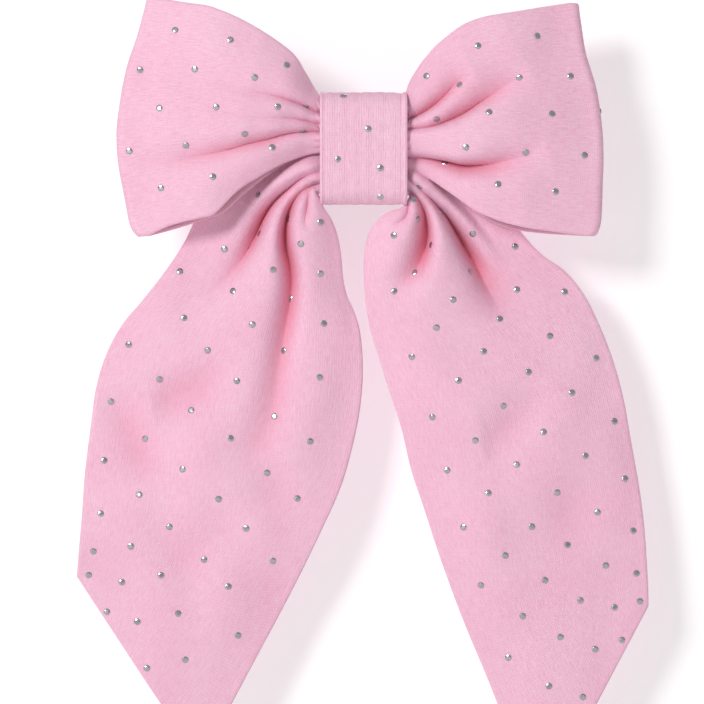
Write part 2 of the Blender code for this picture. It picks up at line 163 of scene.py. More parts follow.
def even(field, times=2):
    """A grid of vectors smoothed over its neighbours and made unit length again."""
    for _ in range(times):
        padded = np.pad(field, ((1, 1), (1, 1), (0, 0)), mode="edge")
        field = 0.5 * field + 0.125 * (padded[2:, 1:-1] + padded[:-2, 1:-1] + padded[1:-1, 2:] + padded[1:-1, :-2])
    return field / np.maximum(np.linalg.norm(field, axis=2, keepdims=True), 1e-9)


def edge_samples(n, edge=(0.0, 0.0012, 0.004, 0.009, 0.017)):
    inner = np.linspace(0.03, 0.97, n)
    return np.concatenate([edge, inner, 1 - np.array(edge)[::-1]])


def column_gap(grid):
    """How far each point is from the nearer of its row's two ends, along the row."""
    run = np.concatenate([np.zeros((grid.shape[0], 1)), np.cumsum(np.linalg.norm(np.diff(grid, axis=1), axis=2), axis=1)], axis=1)
    return np.minimum(run, run[:, -1:] - run)


def row_gap(grid):
    run = np.concatenate([np.zeros((1, grid.shape[1])), np.cumsum(np.linalg.norm(np.diff(grid, axis=0), axis=2), axis=0)], axis=0)
    return np.minimum(run, run[-1:] - run)


def round_off(gap, radius):
    """1 in the middle of the cloth and 0 at its edge, in a quarter circle."""
    return np.sqrt(np.clip(1 - (1 - np.clip(gap / radius, 0, 1)) ** 2, 0, 1))


def cloth_mesh(name, front, back, uv, closed, material, painted_fold_shade=None):
    """A closed mesh from a front and a back grid whose edges coincide. uv is (rows, columns, 2) in millimetres of cloth."""
    rows, cols = front.shape[:2]
    pin = [0, cols - 1] if closed else None
    index_front = np.arange(rows * cols).reshape(rows, cols)
    index_back = index_front + rows * cols
    border = np.zeros((rows, cols), bool)
    border[:, 0] = border[:, -1] = True
    if not closed:
        border[0, :] = border[-1, :] = True
    index_back = np.where(border, index_front, index_back)
    points = np.concatenate([front.reshape(-1, 3), back.reshape(-1, 3)])
    points[: rows * cols][border.ravel()] = ((front + back) / 2)[border]
    nxt = np.roll(np.arange(rows), -1) if closed else np.arange(1, rows)
    cur = np.arange(rows) if closed else np.arange(rows - 1)

    def quads(ix, flip):
        a, b = ix[cur][:, :-1], ix[nxt][:, :-1]
        c, d = ix[nxt][:, 1:], ix[cur][:, 1:]
        q = np.stack([a, b, c, d], axis=-1).reshape(-1, 4)
        return q[:, ::-1] if flip else q

    def quad_uv(flip):
        wrap = uv.copy()
        nu = uv[nxt].copy()
        if closed:
            nu[-1, :, 0] = uv[-1, :, 0] + (uv[-1, :, 0] - uv[-2, :, 0])
        a, b = uv[cur][:, :-1], nu[:, :-1]
        c, d = nu[:, 1:], uv[cur][:, 1:]
        q = np.stack([a, b, c, d], axis=-2).reshape(-1, 4, 2)
        return q[:, ::-1] if flip else q

    faces = np.concatenate([quads(index_front, False), quads(index_back, True)])
    uvs = np.concatenate([quad_uv(False), quad_uv(True) + np.array([0.0, 317.0])])
    used = np.zeros(len(points), bool)
    used[faces.ravel()] = True
    renumber = np.cumsum(used) - 1
    mesh = bpy.data.meshes.new(name)
    mesh.from_pydata((points[used] * MM).tolist(), [], renumber[faces].tolist())
    layer = mesh.uv_layers.new(name="cloth")
    layer.data.foreach_set("uv", uvs.reshape(-1).astype(np.float32))
    mesh.shade_smooth()
    mesh.materials.append(material)
    # painted crease shade for each point, front grid then back grid, kept as a point attribute that the fabric colour
    # reads; none if not given
    if painted_fold_shade is None:
        painted_fold_shade = (np.zeros((rows, cols)), np.zeros((rows, cols)))
    depth = mesh.attributes.new("painted_fold_shade", "FLOAT", "POINT")
    depth.data.foreach_set("value", np.concatenate([painted_fold_shade[0].ravel(), painted_fold_shade[1].ravel()])[used].astype(np.float32))
    o = bpy.data.objects.new(name, mesh)
    bpy.context.scene.collection.objects.link(o)
    return o


def read_grid(grid, i, j):
    """Bilinear reading of a grid at fractional row i and column j."""
    i0, j0 = int(np.clip(math.floor(i), 0, grid.shape[0] - 2)), int(np.clip(math.floor(j), 0, grid.shape[1] - 2))
    a, b = i - i0, j - j0
    return (grid[i0, j0] * (1 - a) * (1 - b) + grid[i0 + 1, j0] * a * (1 - b) + grid[i0, j0 + 1] * (1 - a) * b + grid[i0 + 1, j0 + 1] * a * b)


# ------------------------------------------------------------------ materials
def nodes_of(name):
    m = bpy.data.materials.new(name)
    m.use_nodes = True
    tree = m.node_tree
    return m, tree, tree.nodes["Principled BSDF"]


def new(tree, kind, **settings):
    n = tree.nodes.new(kind)
    for k, v in settings.items():
        if k.startswith("in_"):
            n.inputs[int(k[3:])].default_value = v
        else:
            setattr(n, k, v)
    return n


def scaled_uv(tree, su, sv, layer="cloth"):
    uv = new(tree, "ShaderNodeUVMap", uv_map=layer)
    mp = new(tree, "ShaderNodeMapping")
    mp.inputs["Scale"].default_value = (su, sv, 1)
    tree.links.new(uv.outputs["UV"], mp.inputs["Vector"])
    return mp.outputs["Vector"]


def fabric(name, base, light, dark, rib=0.10, slub=0.55, bump=0.5):
    """Slubbed plain weave: threads along and across the cloth, with uneven thicker slubs along its length."""
    m, t, b = nodes_of(name)
    link = t.links.new
    slubs = new(t, "ShaderNodeTexNoise")
    slubs.inputs["Scale"].default_value, slubs.inputs["Detail"].default_value, slubs.inputs["Roughness"].default_value = 1.0, 3.0, 0.6
    link(scaled_uv(t, 0.42, 2.3), slubs.inputs["Vector"])
    cross = new(t, "ShaderNodeTexNoise")
    cross.inputs["Scale"].default_value, cross.inputs["Detail"].default_value = 1.0, 2.0
    link(scaled_uv(t, 2.1, 0.35), cross.inputs["Vector"])
    speck = new(t, "ShaderNodeTexNoise")
    speck.inputs["Scale"].default_value, speck.inputs["Detail"].default_value = 1.0, 2.0
    link(scaled_uv(t, 2.6, 3.2), speck.inputs["Vector"])
    patch = new(t, "ShaderNodeTexNoise")
    patch.inputs["Scale"].default_value, patch.inputs["Detail"].default_value = 1.0, 1.0
    link(scaled_uv(t, 0.05, 0.06), patch.inputs["Vector"])
    warp = new(t, "ShaderNodeTexWave", wave_type="BANDS", bands_direction="Y")
    warp.inputs["Scale"].default_value, warp.inputs["Distortion"].default_value = 0.52, 1.6
    warp.inputs["Detail"].default_value, warp.inputs["Detail Scale"].default_value = 2.0, 1.2
    link(scaled_uv(t, 1, 1), warp.inputs["Vector"])
    weft = new(t, "ShaderNodeTexWave", wave_type="BANDS", bands_direction="X")
    weft.inputs["Scale"].default_value, weft.inputs["Distortion"].default_value = 0.6, 1.2
    weft.inputs["Detail"].default_value, weft.inputs["Detail Scale"].default_value = 2.0, 1.2
    link(scaled_uv(t, 1, 1), weft.inputs["Vector"])

    def math_node(op, a, c, clamp=False):
        n = new(t, "ShaderNodeMath", operation=op, use_clamp=clamp)
        for k, v in ((0, a), (1, c)):
            if isinstance(v, (int, float)):
                n.inputs[k].default_value = v
            else:
                link(v, n.inputs[k])
        return n.outputs[0]

    s = math_node("MULTIPLY", slubs.outputs["Fac"], slub)
    c = math_node("MULTIPLY", cross.outputs["Fac"], 0.16)
    p = math_node("MULTIPLY", speck.outputs["Fac"], 0.22)
    q = math_node("MULTIPLY", patch.outputs["Fac"], 0.16)
    w = math_node("MULTIPLY", math_node("MULTIPLY", warp.outputs["Fac"], weft.outputs["Fac"]), rib)
    total = math_node("ADD", math_node("ADD", math_node("ADD", s, c), math_node("ADD", p, q)), w)
    ramp = new(t, "ShaderNodeValToRGB")
    e = ramp.color_ramp.elements
    e[0].position, e[0].color = 0.34, (*dark, 1)
    e[1].position, e[1].color = 0.78, (*light, 1)
    mid = ramp.color_ramp.elements.new(0.55)
    mid.color = (*base, 1)
    link(total, ramp.inputs["Fac"])
    # painted shade: the colour is mixed towards a dark rose where the cloth lies deep in a fold, standing in for the
    # shade inside the creases
    painted_fold_shade = new(t, "ShaderNodeAttribute", attribute_name="painted_fold_shade")
    crease_shade_mix = new(t, "ShaderNodeMix", data_type="RGBA")
    link(math_node("MULTIPLY", painted_fold_shade.outputs["Fac"], 0.82, True), crease_shade_mix.inputs["Factor"])
    link(ramp.outputs["Color"], crease_shade_mix.inputs["A"])
    crease_shade_mix.inputs["B"].default_value = (0.75, 0.195, 0.28, 1)
    link(crease_shade_mix.outputs["Result"], b.inputs["Base Color"])
    threads = math_node("ADD", math_node("MULTIPLY", warp.outputs["Fac"], 0.5), math_node("MULTIPLY", weft.outputs["Fac"], 0.35))
    relief = math_node("ADD", math_node("ADD", threads, math_node("MULTIPLY", slubs.outputs["Fac"], 1.5)), math_node("MULTIPLY", speck.outputs["Fac"], 0.8))
    bp = new(t, "ShaderNodeBump")
    bp.inputs["Strength"].default_value, bp.inputs["Distance"].default_value = bump, 0.00014
    link(relief, bp.inputs["Height"])
    link(bp.outputs["Normal"], b.inputs["Normal"])
    b.inputs["Roughness"].default_value = 0.88
    b.inputs["Specular IOR Level"].default_value = 0.25
    b.inputs["Sheen Weight"].default_value = 0.10
    b.inputs["Sheen Roughness"].default_value = 0.45
    b.inputs["Sheen Tint"].default_value = (1.0, 0.86, 0.92, 1)
    return m


PINK = (0.865, 0.490, 0.635)
PINK_LIGHT = (0.910, 0.610, 0.735)
PINK_DARK = (0.790, 0.375, 0.525)
fabric_bow = fabric("slub_weave", PINK, PINK_LIGHT, PINK_DARK)
fabric_knot = fabric("slub_weave_knot", PINK, PINK_LIGHT, PINK_DARK, rib=0.16, slub=0.6, bump=0.8)


def metal(name, colour, rough, brushed=0.12, scale=900.0, stretch=(1, 1, 1)):
    m, t, b = nodes_of(name)
    co = new(t, "ShaderNodeTexCoord")
    mp = new(t, "ShaderNodeMapping")
    mp.inputs["Scale"].default_value = stretch
    t.links.new(co.outputs["Object"], mp.inputs["Vector"])
    grain = new(t, "ShaderNodeTexNoise")
    grain.inputs["Scale"].default_value, grain.inputs["Detail"].default_value = scale, 4.0
    t.links.new(mp.outputs["Vector"], grain.inputs["Vector"])
    blotch = new(t, "ShaderNodeTexNoise")
    blotch.inputs["Scale"].default_value, blotch.inputs["Detail"].default_value = 160.0, 3.0
    t.links.new(co.outputs["Object"], blotch.inputs["Vector"])
    ramp = new(t, "ShaderNodeMapRange")
    ramp.inputs["To Min"].default_value, ramp.inputs["To Max"].default_value = max(0.03, rough - brushed), rough + brushed
    t.links.new(grain.outputs["Fac"], ramp.inputs["Value"])
    t.links.new(ramp.outputs["Result"], b.inputs["Roughness"])
    tone = new(t, "ShaderNodeValToRGB")
    e = tone.color_ramp.elements
    e[0].position, e[0].color = 0.3, (*[c * 0.82 for c in colour], 1)
    e[1].position, e[1].color = 0.7, (*colour, 1)
    t.links.new(blotch.outputs["Fac"], tone.inputs["Fac"])
    t.links.new(tone.outputs["Color"], b.inputs["Base Color"])
    bp = new(t, "ShaderNodeBump")
    bp.inputs["Strength"].default_value, bp.inputs["Distance"].default_value = 0.25, 0.00003
    t.links.new(grain.outputs["Fac"], bp.inputs["Height"])
    t.links.new(bp.outputs["Normal"], b.inputs["Normal"])
    b.inputs["Metallic"].default_value = 1.0
    return m


def plain(name, colour, light, rough, scale, strength=0.3, distance=0.0001, subsurface=0.0, stretch=(1, 1, 1)):
    """Threads, glue and the like: two tones of noise with a matching relief."""
    m, t, b = nodes_of(name)
    co = new(t, "ShaderNodeTexCoord")
    mp = new(t, "ShaderNodeMapping")
    mp.inputs["Scale"].default_value = stretch
    t.links.new(co.outputs["Object"], mp.inputs["Vector"])
    n = new(t, "ShaderNodeTexNoise")
    n.inputs["Scale"].default_value, n.inputs["Detail"].default_value = scale, 4.0
    t.links.new(mp.outputs["Vector"], n.inputs["Vector"])
    ramp = new(t, "ShaderNodeValToRGB")
    e = ramp.color_ramp.elements
    e[0].position, e[0].color = 0.3, (*colour, 1)
    e[1].position, e[1].color = 0.7, (*light, 1)
    t.links.new(n.outputs["Fac"], ramp.inputs["Fac"])
    t.links.new(ramp.outputs["Color"], b.inputs["Base Color"])
    bp = new(t, "ShaderNodeBump")
    bp.inputs["Strength"].default_value, bp.inputs["Distance"].default_value = strength, distance
    t.links.new(n.outputs["Fac"], bp.inputs["Height"])
    t.links.new(bp.outputs["Normal"], b.inputs["Normal"])
    b.inputs["Roughness"].default_value = rough
    if subsurface:
        b.inputs["Subsurface Weight"].default_value = subsurface
        b.inputs["Subsurface Radius"].default_value = (0.002, 0.0015, 0.001)
    return m


# ------------------------------------------------------------------ the loop band
LOOPS = {
    -1: dict(
        top=[(-10.6, 12), (-12.9, 15.5), (-15.1, 19.2), (-17.4, 23), (-20.9, 26), (-25.1, 28.8), (-28.9, 31), (-32.9, 33), (-36.4, 34.4), (-39.6, 35.5), (-46.4, 36.6), (-52.9, 37.8)],
        bottom=[(-10.6, -1), (-14.4, -1.6), (-19.5, -3.4), (-23.5, -5.4), (-27.5, -7.8), (-30.3, -9.5), (-33.1, -11.8), (-35.5, -14.2), (-38.1, -16.4), (-41.1, -17.1), (-46.2, -18), (-50.6, -19.1), (-55.4, -21)],
        edge=[(-55.4, -21.8), (-57.6, -19.2), (-59.1, -12.5), (-60.6, -4.8), (-61.1, 1), (-60.9, 6.8), (-58.9, 19), (-56.1, 27.8), (-53.4, 37.5)],
        back_top=[(-10.6, 11.2), (-14.4, 16.2), (-18.4, 20.8), (-25.4, 26.2), (-32.9, 30.8), (-39.6, 33.5), (-52.9, 37)],
        back_bottom=[(-10.6, -0.2), (-14.9, -1.5), (-18.9, -3.5), (-25.4, -7.8), (-30.9, -12.2), (-35.4, -16.2), (-39.6, -17.6), (-45.4, -19.5), (-50.4, -21), (-54.6, -22.1)],
    ),
    1: dict(
        top=[(10.6, 12.2), (11.4, 16.2), (13.9, 20.5), (16.1, 23.2), (18.6, 25.8), (23.9, 29.8), (27.1, 31.4), (30.6, 32.5), (34.6, 33.2), (38.4, 33.8), (46.4, 35.2), (52.9, 36.2)],
        bottom=[(10.6, -5.5), (13.3, -6.2), (17.1, -8), (19.9, -9.8), (23.8, -12.5), (26.1, -14.2), (28.7, -15.9), (33.2, -17.8), (37.5, -19), (41.6, -19.8), (48.5, -20.6), (57.1, -21.4)],
        edge=[(57.1, -21.8), (58.6, -18.5), (59.2, -8.5), (59.4, -0.5), (58.9, 7), (57.5, 15), (55.1, 23.2), (53.9, 30.5), (53.1, 36.2)],
        back_top=[(10.6, 11.2), (12.6, 16.2), (16.1, 21.2), (20.6, 25.8), (25.6, 29.2), (31.6, 31.5), (39.1, 33), (52.6, 35.5)],
        back_bottom=[(10.6, -4.8), (14.1, -6), (18.6, -8.5), (23.1, -12), (28.1, -16), (33.1, -18.8), (38.6, -20.4), (46, -21.4), (56.6, -22.2)],
    ),
}

LOOP_FOLDS = {
    -1: [
        Fold([(-4.6, 8), (-10.9, 8.9), (-15.6, 10.8), (-20.1, 12.3), (-23.6, 13.2), (-29.4, 14.2), (-35.6, 15.8), (-41.6, 17), (-49.6, 18)],
             [1.8, 3.2, 3.6, 2.9, 2.0, 1.5, 1.2, 0.8, 0.0], [0.7, 1.0, 3.2, 6.0], [0.6, 1.0, 3.6, 6.0], 1.2),
        Fold([(-4.6, 5.8), (-10.9, 6), (-14.4, 6.8), (-17.9, 7.3), (-21.6, 7.4), (-28.6, 7.4), (-36.1, 8.8), (-42.1, 10.5)],
             [1.6, 2.9, 3.0, 2.1, 1.4, 1.0, 0.7, 0.0], [0.7, 0.9, 2.6, 5.0], [0.6, 0.9, 2.6, 5.0], 1.2),
        Fold([(-4.6, 4.2), (-10.9, 4.1), (-16.4, 3.8), (-20.4, 3), (-23.6, 2), (-28.6, 0.9), (-33.1, -0.4), (-38.6, -1.6), (-43.4, -2.6), (-47.9, -3.4), (-53.4, -3), (-58.9, -0.2)],
             [1.6, 3.0, 3.8, 4.4, 4.6, 4.4, 4.0, 3.4, 2.6, 1.8, 1.0, 0.0], [0.7, 1.2, 2.2, 3.6, 6.0], [0.7, 1.1, 2.2, 4.0, 6.0], 1.25),
        Fold([(-51.4, 19.2), (-54.4, 17.8), (-57.9, 14.8)], [0.0, 0.9, 0.2], [5.0, 6.0], [4.0, 5.0], 2.0),
        Fold([(-39.6, 5.2), (-48.4, 4.8), (-55.9, 5.2)], [0.0, -0.7, 0.0], [6.0, 6.0], [6.0, 6.0], 2.0),
        Fold([(-18.4, -4.8), (-27.1, -4.8), (-37.1, -7.8), (-45.9, -10.8)], [-0.2, -0.6, -0.6, 0.0], [4.0, 5.0], [4.0, 5.0], 2.0),
        Fold([(-28.4, 24.8), (-38.4, 26), (-47.1, 27.2)], [0.0, -0.8, 0.0], [7.0, 7.0], [7.0, 7.0], 2.0),
    ],
    1: [
        Fold([(5.4, 6.5), (10.9, 7.2), (13.4, 8.1), (16.4, 9.9), (19.9, 12.8), (23.1, 16.2), (27.1, 18.8)],
             [1.8, 3.8, 5.2, 5.6, 4.8, 2.8, 0.0], [1.2, 2.2, 4.4], [0.6, 0.9, 2.2], 1.3),
        Fold([(5.4, 4.5), (10.9, 4.6), (14.6, 4.8), (18.1, 5.5), (21.6, 6.8), (25.1, 8.5), (28.6, 10.8), (32.1, 13), (36.1, 15.8), (41.1, 19)],
             [1.8, 3.0, 3.6, 4.6, 5.4, 5.4, 4.8, 3.8, 2.3, 0.0], [0.8, 1.6, 3.4, 6.0], [0.6, 0.8, 1.4, 3.0], 1.25),
        Fold([(5.4, -2), (10.9, -2.2), (14.6, -2.4), (18.1, -3), (21.1, -3.6), (24.6, -4.3), (29.1, -4.2), (34.1, -3.5), (39.6, -2.2), (45.4, -0.2)],
             [1.8, 3.2, 4.4, 6.0, 7.2, 7.4, 6.0, 4.0, 2.0, 0.0], [0.6, 0.7, 0.9, 2.0, 4.0], [0.8, 1.8, 3.4, 5.5], 1.4),
        Fold([(16.6, -7.8), (26.6, -10.2), (36.6, -10.2), (46.6, -9)], [0.0, -0.5, -0.5, 0.0], [4.0, 5.0], [4.0, 5.0], 2.0),
        Fold([(19.1, 1), (29.1, 2.8), (41.6, 7.2)], [0.0, -0.6, 0.0], [5.0, 6.0], [5.0, 6.0], 2.0),
        Fold([(26.6, 24.2), (36.6, 25.2), (46.6, 24.8)], [0.0, -0.7, 0.0], [6.0, 6.0], [6.0, 6.0], 2.0),
        Fold([(56.6, 22.2), (58.1, 9.8), (58.4, -5.2)], [0.4, 0.8, 0.3], [4.0, 5.0], [4.0, 5.0], 2.0),
    ],
}

FRONT_LIFT = [(0, 14.2), (0.06, 14.6), (0.15, 16.4), (0.28, 18.4), (0.45, 19.0), (0.65, 17.9), (0.85, 15.2), (1, 13.0)]
FRONT_DROP = [(0, 2.6), (0.1, 4.2), (0.3, 4.2), (0.5, 3.0), (0.8, 1.4), (1, 0.6)]
BACK_LIFT = [(0, 9.7), (0.1, 9.2), (0.3, 8.5), (0.6, 8.2), (0.85, 8.7), (1, 9.6)]
V = edge_samples(112)
COLS = len(V)


def loop_rows(side, shape):
    """Base grid of one loop from the middle of the front round to the middle of the back, and its fold heights."""
    s_front = np.linspace(0, 1, 104) ** 1.15
    s_back = (np.linspace(0, 1, 44) ** 1.1)[::-1]
    edge = by_length(shape["edge"], V)
    edge_in = edge - np.array([side * 1.9, 0])

    def patch(top, bottom, s):
        a, b = by_length(bottom, s), by_length(top, s)
        grid = a[:, None, :] * (1 - V)[None, :, None] + b[:, None, :] * V[None, :, None]
        end = edge_in - grid[-1] if s[-1] > s[0] else edge_in - grid[0]
        return grid + (s ** 2.2)[:, None, None] * end[None]

    front = patch(shape["top"], shape["bottom"], s_front)
    back = patch(shape["back_top"], shape["back_bottom"], s_back)
    bow = np.abs(2 * V - 1) ** 2.3
    lift_f = keyed(FRONT_LIFT, s_front)[:, None] - keyed(FRONT_DROP, s_front)[:, None] * np.where(V < 0.5, bow, 0.8 * bow)[None]
    lift_b = keyed(BACK_LIFT, s_back)[:, None] + (1.2 * bow)[None] * (1 - s_back)[:, None]
    h_f = folded(front[..., 0], front[..., 1], LOOP_FOLDS[side])
    h_f += 0.5 * noise(front[..., 0], front[..., 1], 14.0, 3 + side) + 0.12 * noise(front[..., 0], front[..., 1], 6.0, 8 + side)
    h_f *= 1 - smooth((s_front - 0.9) / 0.1)[:, None] * 0.7
    # pleats of the back panel run out from the knot
    h_b = np.zeros(lift_b.shape)
    width = np.linalg.norm(back[:, -1] - back[:, 0], axis=1)
    for k, v0 in enumerate((0.11, 0.24, 0.37, 0.5, 0.63, 0.76, 0.89)):
        reach = (0.62, 0.85, 0.5, 0.8, 0.55, 0.9, 0.6)[k]
        d = np.abs(V[None] - v0 - 0.02 * np.sin(9 * s_back + k)[:, None]) * width[:, None]
        depth = (1.6, 2.6, 1.8, 2.8, 2.0, 2.6, 1.6)[k] * (np.clip(1 - s_back / reach, 0, 1) ** 0.8 * (0.6 + 0.4 * smooth(s_back / 0.12)))[:, None]
        h_b -= depth * np.exp(-((d / (0.75 + 3.6 * s_back[:, None])) ** 1.3))
    h_b += 0.25 * noise(back[..., 0], back[..., 1], 12.0, 23 + side)
    grid_f = np.stack([front[..., 0], -lift_f, front[..., 1]], axis=-1)
    grid_b = np.stack([back[..., 0], -lift_b, back[..., 1]], axis=-1)
    # the rounded fold at the loop's end
    fold = []
    for a in np.linspace(0, math.pi, 13)[1:-1]:
        x = (grid_f[-1, :, 0] * (1 + math.cos(a)) + grid_b[0, :, 0] * (1 - math.cos(a))) / 2 + side * 1.9 * math.sin(a)
        y = (grid_f[-1, :, 1] * (1 + math.cos(a)) + grid_b[0, :, 1] * (1 - math.cos(a))) / 2
        z = (grid_f[-1, :, 2] * (1 + math.cos(a)) + grid_b[0, :, 2] * (1 - math.cos(a))) / 2
        fold.append(np.stack([x, y, z], axis=-1))
    h_fold = [h_f[-1] * (1 - k / 12) + h_b[0] * k / 12 for k in range(1, 12)]
    # inside the knot, on to the middle of the bow
    mid_f = np.stack([np.zeros(COLS), -(13.6 - 2.2 * bow), -5.0 + 15.2 * V], axis=-1)
    mid_b = np.stack([np.zeros(COLS), -(9.9 + 0.3 * bow), -5.0 + 15.2 * V], axis=-1)
    inner_f = [mid_f * (1 - f) + grid_f[0] * f for f in (0, 0.25, 0.5, 0.75, 0.9)]
    inner_b = [grid_b[-1] * (1 - f) + mid_b * f for f in (0.1, 0.3, 0.6, 1)]
    # the fine pleats that the knot holds shut, gone a few millimetres out of it
    fine = np.sin(2 * math.pi * 8.5 * V + 0.6 * side) * np.clip(4 * V, 0, 1) * np.clip(4 * (1 - V), 0, 1)
    h_f += 0.35 * fine[None] * (1 - smooth(s_front / 0.05))[:, None]
    h_b += 0.7 * fine[None] * (1 - smooth(s_back / 0.16))[:, None]
    h_in_f = [h_f[0] * 0.9 * f + 1.05 * fine * (1 - f) for f in (0, 0.3, 0.6, 0.85, 0.95)]
    h_in_b = [h_b[-1] * 0.8 * (1 - f) + 1.05 * fine * (1 - 0.8 * (1 - f)) for f in (0.1, 0.3, 0.6, 1)]
    grid = np.concatenate([np.stack(inner_f), grid_f, np.stack(fold), grid_b, np.stack(inner_b)])
    height = np.concatenate([np.stack(h_in_f), h_f, np.stack(h_fold), h_b, np.stack(h_in_b)])
    return grid, height


right_grid, right_height = loop_rows(1, LOOPS[1])
left_grid, left_height = loop_rows(-1, LOOPS[-1])
ring = np.concatenate([right_grid, left_grid[::-1][1:-1]])
ring_height = np.concatenate([right_height, left_height[::-1][1:-1]])
ring_normal = normals_of(ring, True)
gap = column_gap(ring)
body = round_off(gap, 0.6)[..., None]
half = PLY / 2 * (1 + 0.16 * np.exp(-((gap - 1.0) / 0.7) ** 2))[..., None]
ring_push = ring_normal * np.array([0.2, 1.0, 0.2])
ring_push /= np.linalg.norm(ring_push, axis=2, keepdims=True)
ring_mid = ring + ring_push * ring_height[..., None]
ring_face = even(normals_of(ring_mid, True))
ring_outer = ring_mid + ring_face * half * body
ring_inner = ring_mid - ring_face * half * body
along = np.concatenate([[0], np.cumsum(np.linalg.norm(np.diff(ring[:, COLS // 2], axis=0), axis=1))])
ring_uv = np.stack([np.repeat(along[:, None], COLS, 1), np.repeat(((V - 0.5) * LOOP_FLAT)[None], len(ring), 0)], axis=-1)
# how much painted crease shade a point gets, from how deep its fold sinks
fold_shade_amount = lambda a: np.clip((-a - 0.4) / 5.6, 0, 1) ** 1.25
# the loop band's outer face gets painted crease shade from its folds, and its inner face an even painted shade of 0.25
# for the shade inside the loops
loop_band = cloth_mesh("loop_band", ring_outer, ring_inner, ring_uv, True, fabric_bow, (fold_shade_amount(ring_height), 0 * ring_height + 0.25))
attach(loop_band, "bow")
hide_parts("loop_band_outer", "loop_band_lining")

# ------------------------------------------------------------------ the tail strip
TAILS = {
    -1: dict(
        outer=[(-11.4, 0.5), (-17.9, 1.2), (-24.4, -0.5), (-30.9, -3.8), (-36.9, -8.8), (-41.4, -15.8), (-45.1, -23.5), (-50.1, -31), (-55.4, -37.8), (-60.6, -44), (-64.6, -51.5), (-67.1, -59.8), (-68.4, -69.2), (-69.9, -81), (-70.6, -91.5), (-71.2, -99), (-71.6, -103.5), (-71.9, -107)],
        inner=[(-10.9, -11.2), (-10.8, -13.2), (-9.6, -15.4), (-7.9, -18), (-6.5, -21.8), (-5.6, -26.8), (-5.1, -32.5), (-4.1, -36.8), (-2.4, -40.5), (-0.9, -45.5), (-0.2, -52.8), (-0.4, -60.8), (-1.9, -70.8), (-5.4, -83.8), (-10.4, -95.2), (-18.4, -111.5), (-29.6, -132.5), (-40.9, -153.8)],
        bend=[(-11.4, -5), (-15.1, -10.8), (-16.1, -17.2), (-17.6, -22.8), (-19.6, -27.2), (-22.1, -32.2), (-24.4, -36.8), (-26.4, -40.8), (-28.1, -44.5), (-29.9, -49), (-31.9, -55.2), (-33.6, -62.8), (-35.1, -72.2), (-37.4, -85.2), (-40.1, -97.8), (-43.4, -110.2), (-49.4, -122.8), (-56.4, -130.4)],
    ),
    1: dict(
        outer=[(11.4, -0.2), (17.6, -1), (23.6, -3.8), (29.4, -8), (34.6, -13.8), (39.4, -20.5), (44.6, -26.2), (50.6, -30.5), (55.4, -36.5), (59.6, -45), (62.9, -53.8), (65.4, -63.2), (67.4, -74.5), (69.1, -84.2), (70.4, -94), (71.1, -104.2), (71.4, -110.2), (71.4, -114.5)],
        inner=[(10.9, -11.5), (10.9, -13.5), (9.1, -14.9), (6.4, -15.8), (3.4, -17.9), (1.1, -21.8), (0.1, -28.5), (0.4, -36.5), (1.6, -44.8), (4.1, -53), (6.9, -61.8), (9.6, -70.2), (11.9, -80.2), (15.1, -89.8), (19.1, -102), (24.9, -117.8), (33.4, -138.5), (43.6, -166.8)],
        bend=[(11.4, -5.8), (15.1, -12.8), (15.6, -19.8), (16.4, -26.8), (17.6, -33.2), (19.4, -37.8), (21.9, -42.2), (25.4, -46.8), (28.9, -50.8), (32.6, -55.8), (35.6, -62), (38.1, -69.8), (40.1, -79.2), (42.4, -90.2), (44.9, -102.2), (48.4, -117.2), (52.9, -129.8), (57.5, -140.6)],
    ),
}
TAIL_LIFT = {  # by key along the tail, then from the outer to the inner edge
    -1: [[7.2, 10.2, 13.3, 13.6, 12.0], [5.8, 9.8, 13.4, 14.0, 12.2], [5.0, 8.6, 13.4, 14.0, 11.6], [4.8, 7.8, 13.0, 13.6, 10.6], [4.6, 7.4, 12.4, 12.8, 9.4],
         [4.5, 7.2, 11.6, 11.8, 8.2], [4.5, 7.0, 10.8, 10.8, 7.0], [4.5, 6.8, 10.0, 9.8, 6.0], [4.4, 6.6, 9.2, 9.0, 5.2], [4.4, 6.5, 8.6, 8.4, 4.8],
         [4.3, 6.4, 8.2, 8.0, 4.4], [4.2, 6.3, 7.8, 7.6, 4.2], [4.2, 6.2, 7.6, 7.4, 4.1], [4.2, 6.0, 7.3, 7.0, 4.1], [4.2, 5.8, 6.9, 6.6, 4.2],
         [4.3, 5.4, 6.2, 6.0, 4.3], [4.4, 5.2, 5.8, 5.6, 4.4], [4.4, 5.2, 5.6, 5.4, 4.4]],
    1: [[7.4, 8.2, 11.6, 13.6, 12.0], [5.6, 8.2, 13.0, 14.0, 12.2], [5.0, 7.8, 13.2, 14.0, 11.8], [4.8, 7.6, 13.0, 13.6, 11.0], [4.6, 7.4, 12.4, 12.8, 10.0],
        [4.5, 7.2, 11.6, 12.0, 8.6], [4.5, 7.0, 10.8, 11.0, 7.2], [4.5, 6.8, 10.0, 10.0, 6.2], [4.4, 6.6, 9.2, 9.2, 5.4], [4.4, 6.5, 8.6, 8.6, 5.0],
        [4.3, 6.4, 8.2, 8.2, 4.6], [4.2, 6.3, 7.8, 7.8, 4.4], [4.2, 6.2, 7.6, 7.6, 4.3], [4.2, 6.0, 7.3, 7.2, 4.3], [4.2, 5.8, 6.9, 6.8, 4.4],
        [4.3, 5.4, 6.2, 6.2, 4.4], [4.4, 5.2, 5.8, 5.8, 4.4], [4.4, 5.2, 5.6, 5.6, 4.4]],
}

